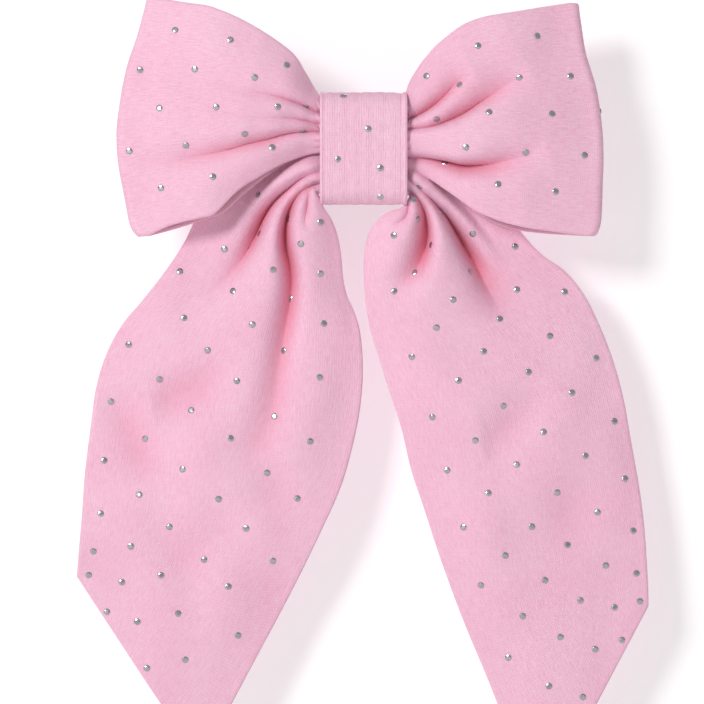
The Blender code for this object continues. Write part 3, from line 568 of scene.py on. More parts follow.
TAIL_FOLDS = {
    -1: [
        Fold([(-7.1, -2.2), (-11.4, -3.5), (-15.1, -4.8), (-18.9, -6.9), (-22.6, -9.9), (-26, -13.5), (-29.1, -18), (-32.6, -23.5), (-37.1, -29.8), (-42.1, -35.8)],
             [0.0, -0.8, -2.6, -4.0, -4.6, -4.2, -3.2, -2.0, -0.9, 0.0], [1.2, 1.6, 2.0, 2.8, 4.0], [1.2, 1.7, 2.2, 3.0, 4.0], 2.6),
        Fold([(-5.9, -5.8), (-11.1, -6), (-15.1, -7.4), (-18.6, -9.9), (-22.1, -12.9), (-24.4, -16.1), (-26.2, -20.1), (-27.9, -23.5), (-30.1, -27.2), (-33.1, -31.2), (-36.6, -34.8), (-40.1, -38.2)],
             [1.0, 2.2, 3.4, 5.0, 7.2, 8.6, 8.2, 6.6, 4.6, 2.9, 1.4, 0.0], [0.7, 1.0, 1.4, 2.4, 4.5], [0.9, 1.8, 4.2, 5.5, 8.0], 1.3),
        Fold([(-5.9, -8.5), (-11.1, -8.6), (-14.4, -9.8), (-16.6, -12), (-18.1, -14.2), (-19.1, -17.2), (-19.6, -20.8), (-19.4, -24.8), (-18.6, -28.2), (-18.1, -32.8), (-18.6, -39), (-19.6, -45.2), (-20.9, -52), (-21.9, -59), (-22.9, -65.2), (-24.9, -71), (-27.9, -75.5), (-30.4, -81.8)],
             [1.0, 2.2, 3.6, 5.2, 6.8, 8.2, 9.0, 8.8, 8.0, 7.0, 5.8, 4.6, 3.8, 3.2, 2.8, 2.3, 1.6, 0.0], [0.7, 1.1, 1.7, 2.3, 3.0, 4.2, 6.0], [0.7, 1.0, 1.6, 2.4, 3.4, 5.0, 6.5], 1.8),
        Fold([(-10.4, -8.8), (-13.1, -9.8), (-13.8, -12.5), (-14.1, -15), (-14.5, -17.5), (-14.8, -20.5)], [0.8, 1.8, 3.0, 3.2, 1.9, 0.0], [0.5, 1.0, 1.8], [0.5, 1.0, 1.9], 1.2),
        Fold([(-15.9, -12), (-17.1, -15), (-18.1, -18.2)], [0.0, 0.9, 0.0], [0.5, 0.6], [0.5, 0.7], 1.2),
        Fold([(-32.9, -53.2), (-39.6, -57.8), (-47.9, -62.8), (-53.4, -64)], [0.0, 1.8, 1.8, 0.0], [6.0, 6.0], [6.0, 6.0], 2.0),
        Fold([(-62.9, -59), (-60.4, -65.2), (-55.9, -75.2), (-51.4, -82.8)], [0.0, 1.5, 1.5, 0.0], [5.0, 5.0], [5.0, 5.0], 2.0),
        Fold([(-55.9, -89), (-49.6, -99), (-42.1, -110.8), (-37.1, -120.2)], [0.0, 1.3, 1.3, 0.0], [6.0, 6.0], [6.0, 6.0], 2.0),
        Fold([(-19.4, -76.5), (-22.1, -85.2), (-26.4, -94.8)], [0.0, 1.6, 0.0], [6.0, 6.0], [6.0, 6.0], 2.0),
        Fold([(-34.6, -65.2), (-39.6, -72.8), (-44.6, -81.5)], [0.0, -0.8, 0.0], [6.0, 7.0], [6.0, 7.0], 2.0),
        Fold([(-11.4, -45.2), (-10.4, -57.8), (-13.9, -72.8), (-19.6, -80.2)], [0.0, -0.9, -0.7, 0.0], [4.0, 5.0], [4.0, 5.0], 2.0),
        Fold([(-44.6, -29), (-49.6, -39), (-53.4, -49)], [0.0, -0.7, 0.0], [5.0, 6.0], [5.0, 6.0], 2.0),
        Fold([(-5.1, -30.2), (-3.4, -39), (-1.4, -49)], [0.2, 1.2, 0.2], [2.0, 2.0], [3.0, 3.0], 1.6),
    ],
    1: [
        Fold([(9.1, -12.2), (10.9, -13.5), (11.2, -15.2), (10.5, -17.1), (9.1, -18.2), (7.1, -19.2)], [0.6, 1.8, 2.8, 2.8, 1.7, 0.0], [0.8, 1.3], [0.7, 1.1], 1.2),
        Fold([(6.6, -9.2), (10.4, -10), (12.6, -11.4), (14.2, -13.5), (15.4, -16.2), (15.9, -19.8), (15.8, -23), (15, -26.2), (13.5, -29.5), (11.1, -32.2), (8.4, -35), (4.9, -38)],
             [0.8, 1.8, 3.2, 5.0, 7.0, 8.4, 8.2, 6.8, 5.0, 3.4, 1.8, 0.0], [0.6, 0.9, 1.3, 2.0, 3.2, 5.0], [0.6, 1.0, 2.4, 3.4, 4.4, 5.0], 1.7),
        Fold([(7.9, -5.8), (11.4, -6.6), (15.4, -9), (19.1, -12.1), (22.9, -15.9), (26.4, -20.1), (30.1, -25.2), (34.1, -31)],
             [0.0, -0.8, -2.6, -3.6, -3.8, -3.0, -1.8, 0.0], [1.2, 1.4, 1.8, 2.4], [1.2, 1.4, 1.7, 2.2], 2.6),
        Fold([(6.6, -5.2), (10.9, -7.4), (14.6, -10.6), (17.9, -13.8), (20.8, -17.1), (23.1, -21), (25.4, -25), (27.9, -29.2), (30.1, -33.5), (32.6, -38), (35.1, -42.8)],
             [0.8, 1.8, 3.4, 5.4, 7.4, 8.6, 8.2, 6.6, 4.4, 2.2, 0.0], [0.7, 1.2, 2.8, 5.0, 7.0], [0.6, 0.8, 1.1, 2.0, 4.0], 1.4),
        Fold([(47.1, -59), (41.1, -65.8), (33.6, -72.2), (29.1, -74)], [0.0, 2.2, 1.8, 0.0], [6.0, 6.0], [6.0, 6.0], 2.0),
        Fold([(54.6, -79), (52.1, -90.2), (49.1, -102.8)], [0.0, 1.5, 0.0], [6.0, 6.0], [6.0, 6.0], 2.0),
        Fold([(66.1, -62.8), (67.6, -72.8), (69.6, -87.8)], [0.0, 1.0, 0.2], [4.0, 4.0], [4.0, 4.0], 2.0),
        Fold([(16.6, -45.2), (14.1, -55.2), (15.4, -67.8)], [0.0, -0.7, 0.0], [5.0, 6.0], [5.0, 6.0], 2.0),
        Fold([(49.1, -37.8), (54.1, -47.8), (56.6, -62.8)], [0.0, -0.9, 0.0], [5.0, 6.0], [5.0, 6.0], 2.0),
        Fold([(26.6, -82.8), (31.6, -95.2), (36.6, -112.8)], [0.0, -0.7, 0.0], [6.0, 7.0], [6.0, 7.0], 2.0),
        Fold([(10.4, -22.8), (7.1, -28.2), (5.4, -34)], [0.0, -0.5, 0.0], [3.0, 3.0], [3.0, 3.0], 2.0),
    ],
}

U = edge_samples(118)


def tail_keys(name):
    middle = {"outer": (0.0, 1.0), "inner": (0.0, -10.4), "bend": (0.0, -4.7)}[name]
    return [*TAILS[-1][name][::-1], middle, *TAILS[1][name]]


per_tail = 205
t_half = np.concatenate([np.linspace(0, 1, per_tail) ** 1.25])
t_all = np.concatenate([-t_half[::-1], t_half[1:]])
t_all = np.concatenate([[-1, -0.9995, -0.998, -0.9955], t_all[(t_all > -0.993) & (t_all < 0.993)], [0.9955, 0.998, 0.9995, 1]])
share = (t_all + 1) / 2
edge_a, edge_b, edge_c = (spline(tail_keys(n), share) for n in ("outer", "inner", "bend"))
u = U[None, :, None]
flat_rows = edge_a[:, None] * (1 - u) ** 2 + 2 * edge_c[:, None] * u * (1 - u) + edge_b[:, None] * u**2
lift_keys = np.array([*TAIL_LIFT[-1][::-1], [6.8, 7.2, 7.9, 11.0, 11.0], *TAIL_LIFT[1]])
lift_at = spline(lift_keys, share)
lift = spline(lift_at.T, U).T
X, Z = flat_rows[..., 0], flat_rows[..., 1]
h = np.where(X < 0, folded(X, Z, TAIL_FOLDS[-1]), folded(X, Z, TAIL_FOLDS[1]))
inside = smooth((np.abs(X) - 7.0) / 4.0) + smooth((-Z - 13.0) / 2.0)
h *= np.clip(inside, 0, 1)
h = h / (1 + (np.abs(h) / 10.0) ** 4) ** 0.25
hang = smooth((np.abs(t_all) - 0.25) / 0.3)[:, None]
h += hang * (1.15 * noise(X, Z, 17.0, 41) + 0.3 * noise(X, Z, 8.0, 42))
tail_base = np.stack([X, -lift, Z], axis=-1)
tail_normal = -normals_of(tail_base, False)
gap = np.minimum(column_gap(tail_base), row_gap(tail_base))
body = round_off(gap, 0.6)[..., None]
half = PLY / 2 * (1 + 0.16 * np.exp(-((gap - 1.0) / 0.7) ** 2))[..., None]
tail_mid = tail_base + np.array([0.0, -1.0, 0.0]) * h[..., None]
tail_face = even(-normals_of(tail_mid, False))
tail_front = tail_mid + tail_face * half * body
tail_back = tail_mid - tail_face * half * body
along = np.concatenate([[0], np.cumsum(np.linalg.norm(np.diff(tail_base[:, len(U) // 2], axis=0), axis=1))])
tail_uv = np.stack([np.repeat(along[:, None], len(U), 1), np.repeat(((U - 0.5) * TAIL_FLAT)[None], len(along), 0)], axis=-1)
# the tail's front face gets painted crease shade from its folds; its back face gets none
tail_strip = cloth_mesh("tail_strip", tail_back, tail_front, tail_uv, False, fabric_bow, (0 * h, fold_shade_amount(h)))
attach(tail_strip, "bow")
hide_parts("tail_strip_front", "tail_strip_back")

# ------------------------------------------------------------------ the knot wrap
KNOT_W, KNOT_TOP, KNOT_FRONT, KNOT_BACK, KNOT_R = 21.8, 14.0, -16.0, -4.35, 4.4


def knot_section(inset, count):
    """Rounded rectangle in Y and Z by even steps of length, starting at the back's middle and running down, up the front and back."""
    top, front, back, r = KNOT_TOP - inset, KNOT_FRONT + inset, KNOT_BACK - inset, KNOT_R - inset
    pts = [(back, 0.0), (back, -(top - r))]
    for cy, cz, a0 in ((back - r, -top + r, 0), (front + r, -top + r, -90), (front + r, top - r, -180), (back - r, top - r, -270)):
        for i in range(1, 13):
            a = math.radians(a0 - 90 * i / 12)
            pts.append((cy + r * math.cos(a), cz + r * math.sin(a)))
        if a0 == 0:
            pts.append((front + r, -top))
        elif a0 == -90:
            pts.append((front, top - r))
        elif a0 == -180:
            pts.append((back - r, top))
    pts.append((back, 0.0))
    pts = np.array(pts)
    run = np.concatenate([[0], np.cumsum(np.linalg.norm(np.diff(pts, axis=0), axis=1))])
    want = np.linspace(0, run[-1], count + 1)[:-1]
    return np.stack([np.interp(want, run, pts[:, k]) for k in (0, 1)], axis=1), run[-1]


W = edge_samples(52, (0.0, 0.003, 0.009, 0.02))
section, girth = knot_section(0.55, 190)
xs = (W - 0.5) * KNOT_W
wrap = np.zeros((len(section), len(W), 3))
wrap[..., 0] = xs[None]
wrap[..., 1] = section[:, 0][:, None]
wrap[..., 2] = section[:, 1][:, None]
wrap_normal = -normals_of(wrap, True)
if wrap_normal[len(section) // 2, len(W) // 2, 1] > 0:
    wrap_normal = -wrap_normal
turn = np.linspace(0, 1, len(section), endpoint=False)[:, None] * girth
fx = np.repeat(xs[None], len(section), 0)
height = 0.16 * noise(fx * 1.2, turn + 0 * fx, 7.0, 51) + 0.05 * np.sin(fx * 2 * math.pi / 3.1 + 0.8 * noise(fx, turn + 0 * fx, 9.0, 52))
front_side = np.clip((-wrap[..., 1] - 11.5) / 3.0, 0, 1)
height += front_side * (0.75 * (1 - (wrap[..., 2] / 11.5) ** 2) - 0.2) * (1 - 0.4 * (fx / (KNOT_W / 2)) ** 2)
for x0, depth in ((9.55, 0.32), (-9.85, 0.26)):   # the turned hems along both sides
    height -= depth * np.exp(-(np.abs(fx - x0 - 0.05 * np.sin(turn * 0.4)) / 0.22) ** 1.3)
    height += 0.12 * smooth((np.abs(fx) - abs(x0)) / 0.4)
back_side = smooth((wrap[..., 1] + 6.4) / 1.2)
lap = smooth((-6.0 - wrap[..., 2]) / 0.25) * (1 - smooth((-wrap[..., 2] - 9.5) / 3.5)) * back_side
gap = column_gap(wrap)
body = round_off(gap, 0.55)[..., None]
wrap_outer = wrap + wrap_normal * (height[..., None] + 0.55 * body + 0.45 * lap[..., None])
wrap_inner = wrap + wrap_normal * (0.5 * height[..., None] - 0.5 * body)
wrap_uv = np.stack([np.repeat(turn, len(W), 1), fx], axis=-1)
order = 1 if np.dot(normals_of(wrap, True)[len(section) // 2, len(W) // 2], wrap_normal[len(section) // 2, len(W) // 2]) > 0 else -1
if order > 0:
    knot = cloth_mesh("knot_band", wrap_outer, wrap_inner, wrap_uv, True, fabric_knot)
else:
    knot = cloth_mesh("knot_band", wrap_inner, wrap_outer, wrap_uv, True, fabric_knot)
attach(knot, "bow")
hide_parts("knot_wrap")

# ------------------------------------------------------------------ studs
stud_metal = metal("stud_silver", (0.52, 0.52, 0.55), 0.2, 0.08, 2500.0)
STUD_R, STUD_H = 0.86, 0.26


def stud_shape():
    """Rings (radius, height, turn) of one small faceted dome, and its faces."""
    n = 10
    rings = [(STUD_R, -0.12, 0.0), (STUD_R, 0.06, 0.0), (STUD_R * 0.82, 0.19, 0.5), (STUD_R * 0.5, STUD_H, 0.0)]
    pts = [(r * math.cos(2 * math.pi * (k + t) / n), r * math.sin(2 * math.pi * (k + t) / n), h) for r, h, t in rings for k in range(n)]
    faces = []
    for j in range(len(rings) - 1):
        for k in range(n):
            a, b, c, d = j * n + k, j * n + (k + 1) % n, (j + 1) * n + (k + 1) % n, (j + 1) * n + k
            if j == 1:
                faces += [(a, b, d), (b, c, d)]
            elif j == 2:
                faces += [(a, b, c), (a, c, d)]
            else:
                faces.append((a, b, c, d))
    faces.append(tuple((len(rings) - 1) * n + k for k in range(n)))
    faces.append(tuple(range(n))[::-1])
    return np.array(pts), faces


STUD_POINTS, STUD_FACES = stud_shape()


def studs(name, places):
    """One mesh of studs, each at (point, outward normal)."""
    points, faces = [], []
    for p, n in places:
        n = n / np.linalg.norm(n)
        side = np.cross(n, (0.0, 0.0, 1.0) if abs(n[2]) < 0.9 else (1.0, 0.0, 0.0))
        side /= np.linalg.norm(side)
        other = np.cross(n, side)
        a = RNG.uniform(0, 6.28)
        lean = RNG.normal(0, 0.06, 2)
        n2 = n + lean[0] * side + lean[1] * other
        n2 /= np.linalg.norm(n2)
        e1 = math.cos(a) * side + math.sin(a) * other
        e1 -= n2 * np.dot(e1, n2)
        e1 /= np.linalg.norm(e1)
        e2 = np.cross(n2, e1)
        base = len(points)
        for q in STUD_POINTS:
            points.append((p + e1 * q[0] + e2 * q[1] + n2 * q[2]) * MM)
        faces += [tuple(base + k for k in f) for f in STUD_FACES]
    mesh = bpy.data.meshes.new(name)
    mesh.from_pydata([tuple(q) for q in points], [], faces)
    mesh.materials.append(stud_metal)
    o = bpy.data.objects.new(name, mesh)
    bpy.context.scene.collection.objects.link(o)
    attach(o, "bow")
    return o


def lattice(grid, other, uv, phase, margin, width, closed):
    """Half-drop lattice in the cloth's own coordinates, read on a grid of surface points. other is the cloth's far face."""
    places = []
    normal = normals_of(grid, closed)
    along_rows, across = uv[:, 0, 0], uv[0, :, 1]
    k0 = int(-width / 2 / STUD_ACROSS) - 1
    for k in range(k0, -k0 + 1):
        v = k * STUD_ACROSS + phase[1]
        if abs(v) > width / 2 - margin:
            continue
        start = phase[0] + (STUD_ALONG / 2 if k % 2 else 0)
        for m in range(int(along_rows[-1] / STUD_ALONG) + 2):
            w = start + m * STUD_ALONG + RNG.normal(0, 0.5)
            vv = v + RNG.normal(0, 0.4)
            if not along_rows[2] < w < along_rows[-1] - 1.5 or abs(vv) > width / 2 - 1.4:
                continue
            i, j = np.interp(w, along_rows, np.arange(len(along_rows))), np.interp(vv, across, np.arange(len(across)))
            p, q = read_grid(grid, i, j), read_grid(other, i, j)
            n = read_grid(normal, i, j)
            if np.dot(n, p - q) < 0:
                n = -n
            if abs(p[0]) < 12.2 and abs(p[2]) < 16:
                continue
            places.append((p, n))
    return places


loop_studs = studs("studs_on_loops", lattice(ring_outer, ring_inner, ring_uv, (4.0, 1.5), 1.2, LOOP_FLAT, True)
                   + lattice(ring_inner, ring_outer, ring_uv, (9.0, -3.0), 1.2, LOOP_FLAT, True))
tail_studs = studs("studs_on_tails", lattice(tail_front, tail_back, tail_uv, (3.0, 2.0), 1.2, TAIL_FLAT, False)
                   + lattice(tail_back, tail_front, tail_uv, (8.0, -2.0), 1.2, TAIL_FLAT, False))


def on_wrap(x, z):
    """Point and outward normal on the front half of the knot at X and height Z."""
    half_rows = [i for i in range(len(section)) if wrap_outer[i, len(W) // 2, 1] < -8.0]
    column = float(np.interp(x, xs, np.arange(len(xs))))
    best = min(half_rows, key=lambda i: abs(read_grid(wrap_outer, i, column)[2] - z) + (0.02 * (wrap_outer[i, len(W) // 2, 1] + 16)))
    return read_grid(wrap_outer, best, column), read_grid(wrap_normal, best, column)


for k, (x, z) in enumerate(((1.1, 4.75), (-6.4, -2.75), (4.1, -5.0), (-5.1, 12.9), (4.2, -12.3))):
    s = studs(f"knot_stud_look_{k + 1}", [on_wrap(x, z)])
    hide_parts(f"knot_stud_{k + 1}")

# ------------------------------------------------------------------ the clip's ribbon, glue, thread and stitches
def ribbon_material():
    m, t, b = nodes_of("grosgrain")
    wave = new(t, "ShaderNodeTexWave", wave_type="BANDS", bands_direction="X")
    wave.inputs["Scale"].default_value, wave.inputs["Distortion"].default_value = 0.45, 0.25
    t.links.new(scaled_uv(t, 1, 1), wave.inputs["Vector"])
    n = new(t, "ShaderNodeTexNoise")
    n.inputs["Scale"].default_value, n.inputs["Detail"].default_value = 1.0, 3.0
    t.links.new(scaled_uv(t, 3.0, 0.6), n.inputs["Vector"])
    mix = new(t, "ShaderNodeMath", operation="MULTIPLY_ADD")
    mix.inputs[1].default_value, mix.inputs[2].default_value = 0.55, 0.0
    t.links.new(wave.outputs["Fac"], mix.inputs[0])
    add = new(t, "ShaderNodeMath", operation="MULTIPLY_ADD")
    add.inputs[1].default_value = 0.45
    t.links.new(n.outputs["Fac"], add.inputs[0])
    t.links.new(mix.outputs[0], add.inputs[2])
    ramp = new(t, "ShaderNodeValToRGB")
    e = ramp.color_ramp.elements
    e[0].position, e[0].color = 0.15, (0.66, 0.29, 0.42, 1)
    e[1].position, e[1].color = 0.75, (0.88, 0.55, 0.68, 1)
    t.links.new(add.outputs[0], ramp.inputs["Fac"])
    t.links.new(ramp.outputs["Color"], b.inputs["Base Color"])
    bp = new(t, "ShaderNodeBump")
    bp.inputs["Strength"].default_value, bp.inputs["Distance"].default_value = 0.8, 0.00015
    t.links.new(wave.outputs["Fac"], bp.inputs["Height"])
    t.links.new(bp.outputs["Normal"], b.inputs["Normal"])
    b.inputs["Roughness"].default_value = 0.55
    b.inputs["Sheen Weight"].default_value = 0.2
    return m


lap_path = [(30.0, -2.42)] + [(29.5 - k * 2.0, -2.42) for k in range(29)]
lap_path += [(-29.4, -2.42), (-30.1, -2.38)] + [(-30.15 - 0.42 * math.sin(a), -1.5 - 0.92 * math.cos(a)) for a in np.linspace(0.3, math.pi - 0.3, 9)]
lap_path += [(-30.1, -0.62), (-29.4, -0.58)] + [(-28.5 + k * 2.0, -0.575) for k in range(18)] + [(6.9, -0.575)]
lap_points = np.array(lap_path)
R = edge_samples(14, (0.0, 0.01, 0.03))
steps = np.linspace(0, 1, 260)
steps = np.concatenate([[0, 0.0006, 0.0015], steps[1:-1], [0.9985, 0.9994, 1]])
lap_xy = by_length(lap_points, steps)
ribbon_base = np.zeros((len(steps), len(R), 3))
ribbon_base[..., 0], ribbon_base[..., 1] = lap_xy[:, 0][:, None], lap_xy[:, 1][:, None]
ribbon_base[..., 2] = ((R - 0.5) * 7.8)[None]
ribbon_normal = normals_of(ribbon_base, False)
run = np.concatenate([[0], np.cumsum(np.linalg.norm(np.diff(lap_xy, axis=0), axis=1))])
rib_wave = 0.05 * np.sin(run * 2 * math.pi / 0.9)[:, None, None]
ribbon_base[..., 2] += (0.07 * np.sin(run * 2 * math.pi / 0.9))[:, None] * np.sign(R - 0.5)[None] * (np.abs(R - 0.5) > 0.46)[None]
gap = np.minimum(column_gap(ribbon_base), row_gap(ribbon_base))
body = round_off(gap, 0.2)[..., None]
ribbon_a = ribbon_base + ribbon_normal * body * (0.18 + rib_wave)
ribbon_b = ribbon_base - ribbon_normal * body * (0.18 + rib_wave)
ribbon_uv = np.stack([np.repeat(run[:, None], len(R), 1), np.repeat(((R - 0.5) * 7.8)[None], len(run), 0)], axis=-1)
ribbon = cloth_mesh("clip_ribbon_grosgrain", ribbon_a, ribbon_b, ribbon_uv, False, ribbon_material())
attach(ribbon, "bow")
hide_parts("clip_ribbon")


def blob(name, centre, size, material, seed, power=4.0, rough=0.12):
    """A soft-edged slab of glue: a superellipsoid with an uneven skin."""
    rows, cols = 36, 72
    pts, faces = [], []
    rng = np.random.default_rng(seed)
    ph = rng.uniform(0, 6.28, 6)
    for i in range(1, rows):
        a = math.pi * i / rows - math.pi / 2
        for j in range(cols):
            b = 2 * math.pi * j / cols
            sp = lambda c, e: math.copysign(abs(c) ** e, c)
            e = 2 / power
            wob = 1 + rough * (math.sin(3 * b + ph[0]) * 0.5 + math.sin(5 * b + ph[1] + 2 * a) * 0.3 + math.sin(9 * b + ph[2]) * 0.2) * math.cos(a)
            pts.append((centre[0] + size[0] / 2 * sp(math.cos(a), 0.45) * sp(math.cos(b), e) * wob,
                        centre[1] + size[1] / 2 * sp(math.sin(a), 0.6),
                        centre[2] + size[2] / 2 * sp(math.cos(a), 0.45) * sp(math.sin(b), e) * wob))
    for i in range(rows - 2):
        for j in range(cols):
            faces.append((i * cols + j, i * cols + (j + 1) % cols, (i + 1) * cols + (j + 1) % cols, (i + 1) * cols + j))
    pts += [(centre[0], centre[1] - size[1] / 2, centre[2]), (centre[0], centre[1] + size[1] / 2, centre[2])]
    for j in range(cols):
        faces.append((len(pts) - 2, (j + 1) % cols, j))
        faces.append((len(pts) - 1, (rows - 2) * cols + j, (rows - 2) * cols + (j + 1) % cols))
    mesh = bpy.data.meshes.new(name)
    mesh.from_pydata([(x * MM, y * MM, z * MM) for x, y, z in pts], [], faces)
    mesh.shade_smooth()
    mesh.materials.append(material)
    o = bpy.data.objects.new(name, mesh)
    bpy.context.scene.collection.objects.link(o)
    return o


glue_look = plain("hot_melt_glue", (0.78, 0.72, 0.60), (0.86, 0.82, 0.72), 0.28, 420.0, 0.35, 0.0001, 0.35)
glue = blob("glue_bead", (0, -3.42, 0), (19.5, 1.75, 8.8), glue_look, 5)
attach(glue, "bow")
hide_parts("glue_pad")

thread_look = plain("thread_twist", (0.66, 0.34, 0.44), (0.88, 0.62, 0.70), 0.6, 1500.0, 0.5, 0.00006)


def twisted(name, path, radius, material, twist=2.2, sides=12, lobes=3, lobe=0.16, body="bow"):
    """A plied thread: a tube whose section has lobes that turn along it. path is a dense list of points."""
    path = np.asarray(path, float)
    n = len(path)
    tangent = np.gradient(path, axis=0)
    tangent /= np.linalg.norm(tangent, axis=1)[:, None]
    ref = np.array([0.3, 0.2, 0.93])
    u_dir = np.cross(tangent[0], ref)
    u_dir /= np.linalg.norm(u_dir)
    pts, faces = [], []
    run = 0.0
    for i in range(n):
        if i:
            run += np.linalg.norm(path[i] - path[i - 1])
            u_dir = u_dir - tangent[i] * np.dot(u_dir, tangent[i])
            u_dir /= np.linalg.norm(u_dir)
        v_dir = np.cross(tangent[i], u_dir)
        end = min(1.0, 0.35 + 3.0 * min(i, n - 1 - i) / n * 6)
        for k in range(sides):
            a = 2 * math.pi * k / sides
            r = radius * end * (1 + lobe * math.cos(lobes * (a + run * twist)))
            pts.append((path[i] + (u_dir * math.cos(a) + v_dir * math.sin(a)) * r) * MM)
    for i in range(n - 1):
        for k in range(sides):
            faces.append((i * sides + k, i * sides + (k + 1) % sides, (i + 1) * sides + (k + 1) % sides, (i + 1) * sides + k))
    faces.append(tuple(range(sides))[::-1])
    faces.append(tuple((n - 1) * sides + k for k in range(sides)))
    mesh = bpy.data.meshes.new(name)
    mesh.from_pydata([tuple(p) for p in pts], [], faces)
    mesh.shade_smooth()
    mesh.materials.append(material)
    o = bpy.data.objects.new(name, mesh)
    bpy.context.scene.collection.objects.link(o)
    if body:
        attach(o, body)
    return o


for k in range(4):
    x0 = -6.6 + 4.4 * k
    f = np.linspace(0, 1, 40)
    arch = np.sin(math.pi * f) ** 0.6
    stitch = np.stack([x0 + 1.5 * f, KNOT_BACK - 0.25 + 0.85 * arch, -7.2 + 2.4 * f], axis=1)
    s = twisted(f"hand_stitch_{k + 1}", stitch, 0.2, thread_look)
    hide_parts(f"wrap_stitch_{k + 1}")
around = []
for i in range(6 * 60 + 1):
    a = 2 * math.pi * i / 60
    c, sn = math.cos(a), math.sin(a)
    around.append((-2.2 + 4.4 * i / 360, -10.15 - 4.3 * math.copysign(abs(sn) ** 0.55, sn), 12.25 * math.copysign(abs(c) ** 0.55, c)))
s = twisted("gather_thread_wound", around, 0.22, thread_look)
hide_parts("gather_thread")

# ------------------------------------------------------------------ the clip's metal
steel = metal("nickel_plate", (0.78, 0.77, 0.75), 0.24, 0.10, 700.0, (0.12, 1, 1))
wire_steel = metal("spring_wire", (0.62, 0.61, 0.60), 0.32, 0.10, 1500.0)
for node in ("clip_top_arm", "clip_jaw", "clip_pin"):
    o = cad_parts[node]
    o.data.materials.clear()
    o.data.materials.append(steel)

# the torsion spring winds up round the pin: its first leg stays on the arm and its last goes with the jaw
pin_x, pin_y, coil_r, tab = 14.0, 1.1, 1.15, math.radians(28)
coil = [(pin_x + 9.0, -0.43, -1.62), (pin_x + 5.0, -0.45, -1.62), (pin_x + 1.6, pin_y - coil_r - 0.12, -1.62)]
for k in range(97):
    a = -math.pi / 2 - 7 * math.pi * k / 96
    coil.append((pin_x + coil_r * math.cos(a), pin_y + coil_r * math.sin(a), -1.6 + 3.2 * k / 96))
leg = (pin_x + 2.4 + 0.65 * math.sin(tab), 3.0 - 0.65 * math.cos(tab))
coil += [(*leg, 1.62), (leg[0] + 8.5 * math.cos(tab), leg[1] + 8.5 * math.sin(tab), 1.62)]
dense = []
for p, q in zip(coil[:-1], coil[1:]):
    n = 24 if math.dist(p, q) > 2 else 3
    dense += [tuple(p[c] + (q[c] - p[c]) * k / n for c in range(3)) for k in range(n)]
dense.append(coil[-1])
spring = twisted("torsion_spring", dense, 0.35, wire_steel, sides=14, lobe=0.0, body=None)
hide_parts("clip_spring")
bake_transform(spring)

# ------------------------------------------------------------------ stage, light and camera
def stage_material(name, colour, one_sided):
    m, t, b = nodes_of(name)
    n = new(t, "ShaderNodeTexNoise")
    n.inputs["Scale"].default_value = 3.0
    co = new(t, "ShaderNodeTexCoord")
    t.links.new(co.outputs["Object"], n.inputs["Vector"])
    ramp = new(t, "ShaderNodeValToRGB")
    e = ramp.color_ramp.elements
    e[0].color, e[1].color = (*[c * 0.995 for c in colour], 1), (*colour, 1)
    t.links.new(n.outputs["Fac"], ramp.inputs["Fac"])
    t.links.new(ramp.outputs["Color"], b.inputs["Base Color"])
    b.inputs["Roughness"].default_value = 0.95
    b.inputs["Specular IOR Level"].default_value = 0.1
    if one_sided:
        b.inputs["Emission Color"].default_value = (1, 1, 1, 1)
        b.inputs["Emission Strength"].default_value = 0.33
        geo = new(t, "ShaderNodeNewGeometry")
        clear = new(t, "ShaderNodeBsdfTransparent")
        mix = new(t, "ShaderNodeMixShader")
        t.links.new(geo.outputs["Backfacing"], mix.inputs[0])
        t.links.new(b.outputs[0], mix.inputs[1])
        t.links.new(clear.outputs[0], mix.inputs[2])
        t.links.new(mix.outputs[0], t.nodes["Material Output"].inputs["Surface"])
    return m


def plane(name, corners, material):
    mesh = bpy.data.meshes.new(name)
    mesh.from_pydata(corners, [], [(0, 1, 2, 3)])
    mesh.materials.append(material)
    o = bpy.data.objects.new(name, mesh)
    bpy.context.scene.collection.objects.link(o)
    return o


floor_z = -0.1725
plane("floor", [(-3, -3, floor_z), (3, -3, floor_z), (3, 3, floor_z), (-3, 3, floor_z)], stage_material("floor_paper", (0.93, 0.93, 0.935), False))
back_y = 0.0135
backdrop = plane("backdrop", [(-3, back_y, floor_z), (3, back_y, floor_z), (3, back_y, 2), (-3, back_y, 2)], stage_material("backdrop_paper", (0.74, 0.74, 0.74), True))
backdrop.visible_diffuse = backdrop.visible_glossy = backdrop.visible_shadow = backdrop.visible_transmission = False

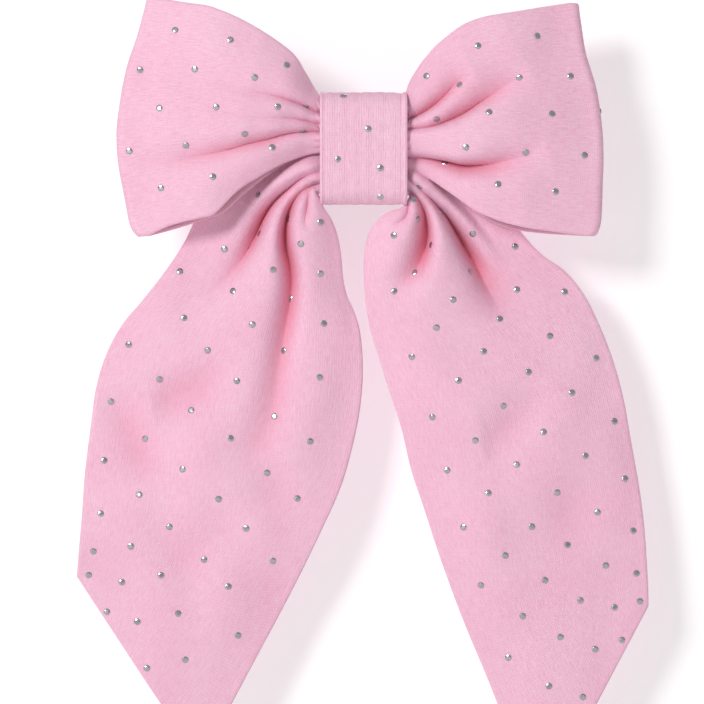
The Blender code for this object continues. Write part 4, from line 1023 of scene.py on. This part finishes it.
world = bpy.data.worlds.new("studio")
world.use_nodes = True
wt = world.node_tree
dome = wt.nodes["Background"]
dome.inputs["Strength"].default_value = 1.0
direction = wt.nodes.new("ShaderNodeTexCoord")
axes = wt.nodes.new("ShaderNodeSeparateXYZ")
wt.links.new(direction.outputs["Generated"], axes.inputs["Vector"])
spread = wt.nodes.new("ShaderNodeMapRange")
spread.inputs["From Min"].default_value, spread.inputs["From Max"].default_value = -0.8, 0.8
spread.inputs["To Min"].default_value, spread.inputs["To Max"].default_value = 0.30, 0.50
wt.links.new(axes.outputs["Z"], spread.inputs["Value"])
wt.links.new(spread.outputs["Result"], dome.inputs["Color"])
paper = wt.nodes.new("ShaderNodeBackground")
paper.inputs["Color"].default_value, paper.inputs["Strength"].default_value = (1, 1, 1, 1), 0.86
seen = wt.nodes.new("ShaderNodeLightPath")
choose = wt.nodes.new("ShaderNodeMixShader")
wt.links.new(seen.outputs["Is Camera Ray"], choose.inputs[0])
wt.links.new(dome.outputs[0], choose.inputs[1])
wt.links.new(paper.outputs[0], choose.inputs[2])
wt.links.new(choose.outputs[0], wt.nodes["World Output"].inputs["Surface"])
bpy.context.scene.world = world
bpy.context.scene.view_settings.view_transform = "Standard"


def area_light(name, place, aim, size, power, colour=(1, 1, 1)):
    data = bpy.data.lights.new(name, "AREA")
    data.shape, data.size, data.energy, data.color = "SQUARE", size, power, colour
    o = bpy.data.objects.new(name, data)
    bpy.context.scene.collection.objects.link(o)
    o.location = place
    o.rotation_mode = "QUATERNION"
    o.rotation_quaternion = (Vector(place) - Vector(aim)).to_track_quat("Z", "Y")
    return o


area_light("key", (-0.66, -1.12, 0.42), (0, 0, -0.05), 0.32, 9.7)
area_light("back_fill", (0.5, 1.3, 0.5), (0, 0, -0.05), 0.9, 12.0)

camera_data = bpy.data.cameras.new("camera")
camera_data.lens, camera_data.sensor_width = 245.0, 36.0
camera = bpy.data.objects.new("camera", camera_data)
bpy.context.scene.collection.objects.link(camera)
distance = 0.176 * 245.0 / 36.0
camera.location = (-0.0029, -distance - 0.008, -0.05075)
camera.rotation_mode = "QUATERNION"
camera.rotation_quaternion = Vector((0, -1, 0)).to_track_quat("Z", "Y")
camera_data.clip_start, camera_data.clip_end = 0.05, 20.0
bpy.context.scene.camera = camera
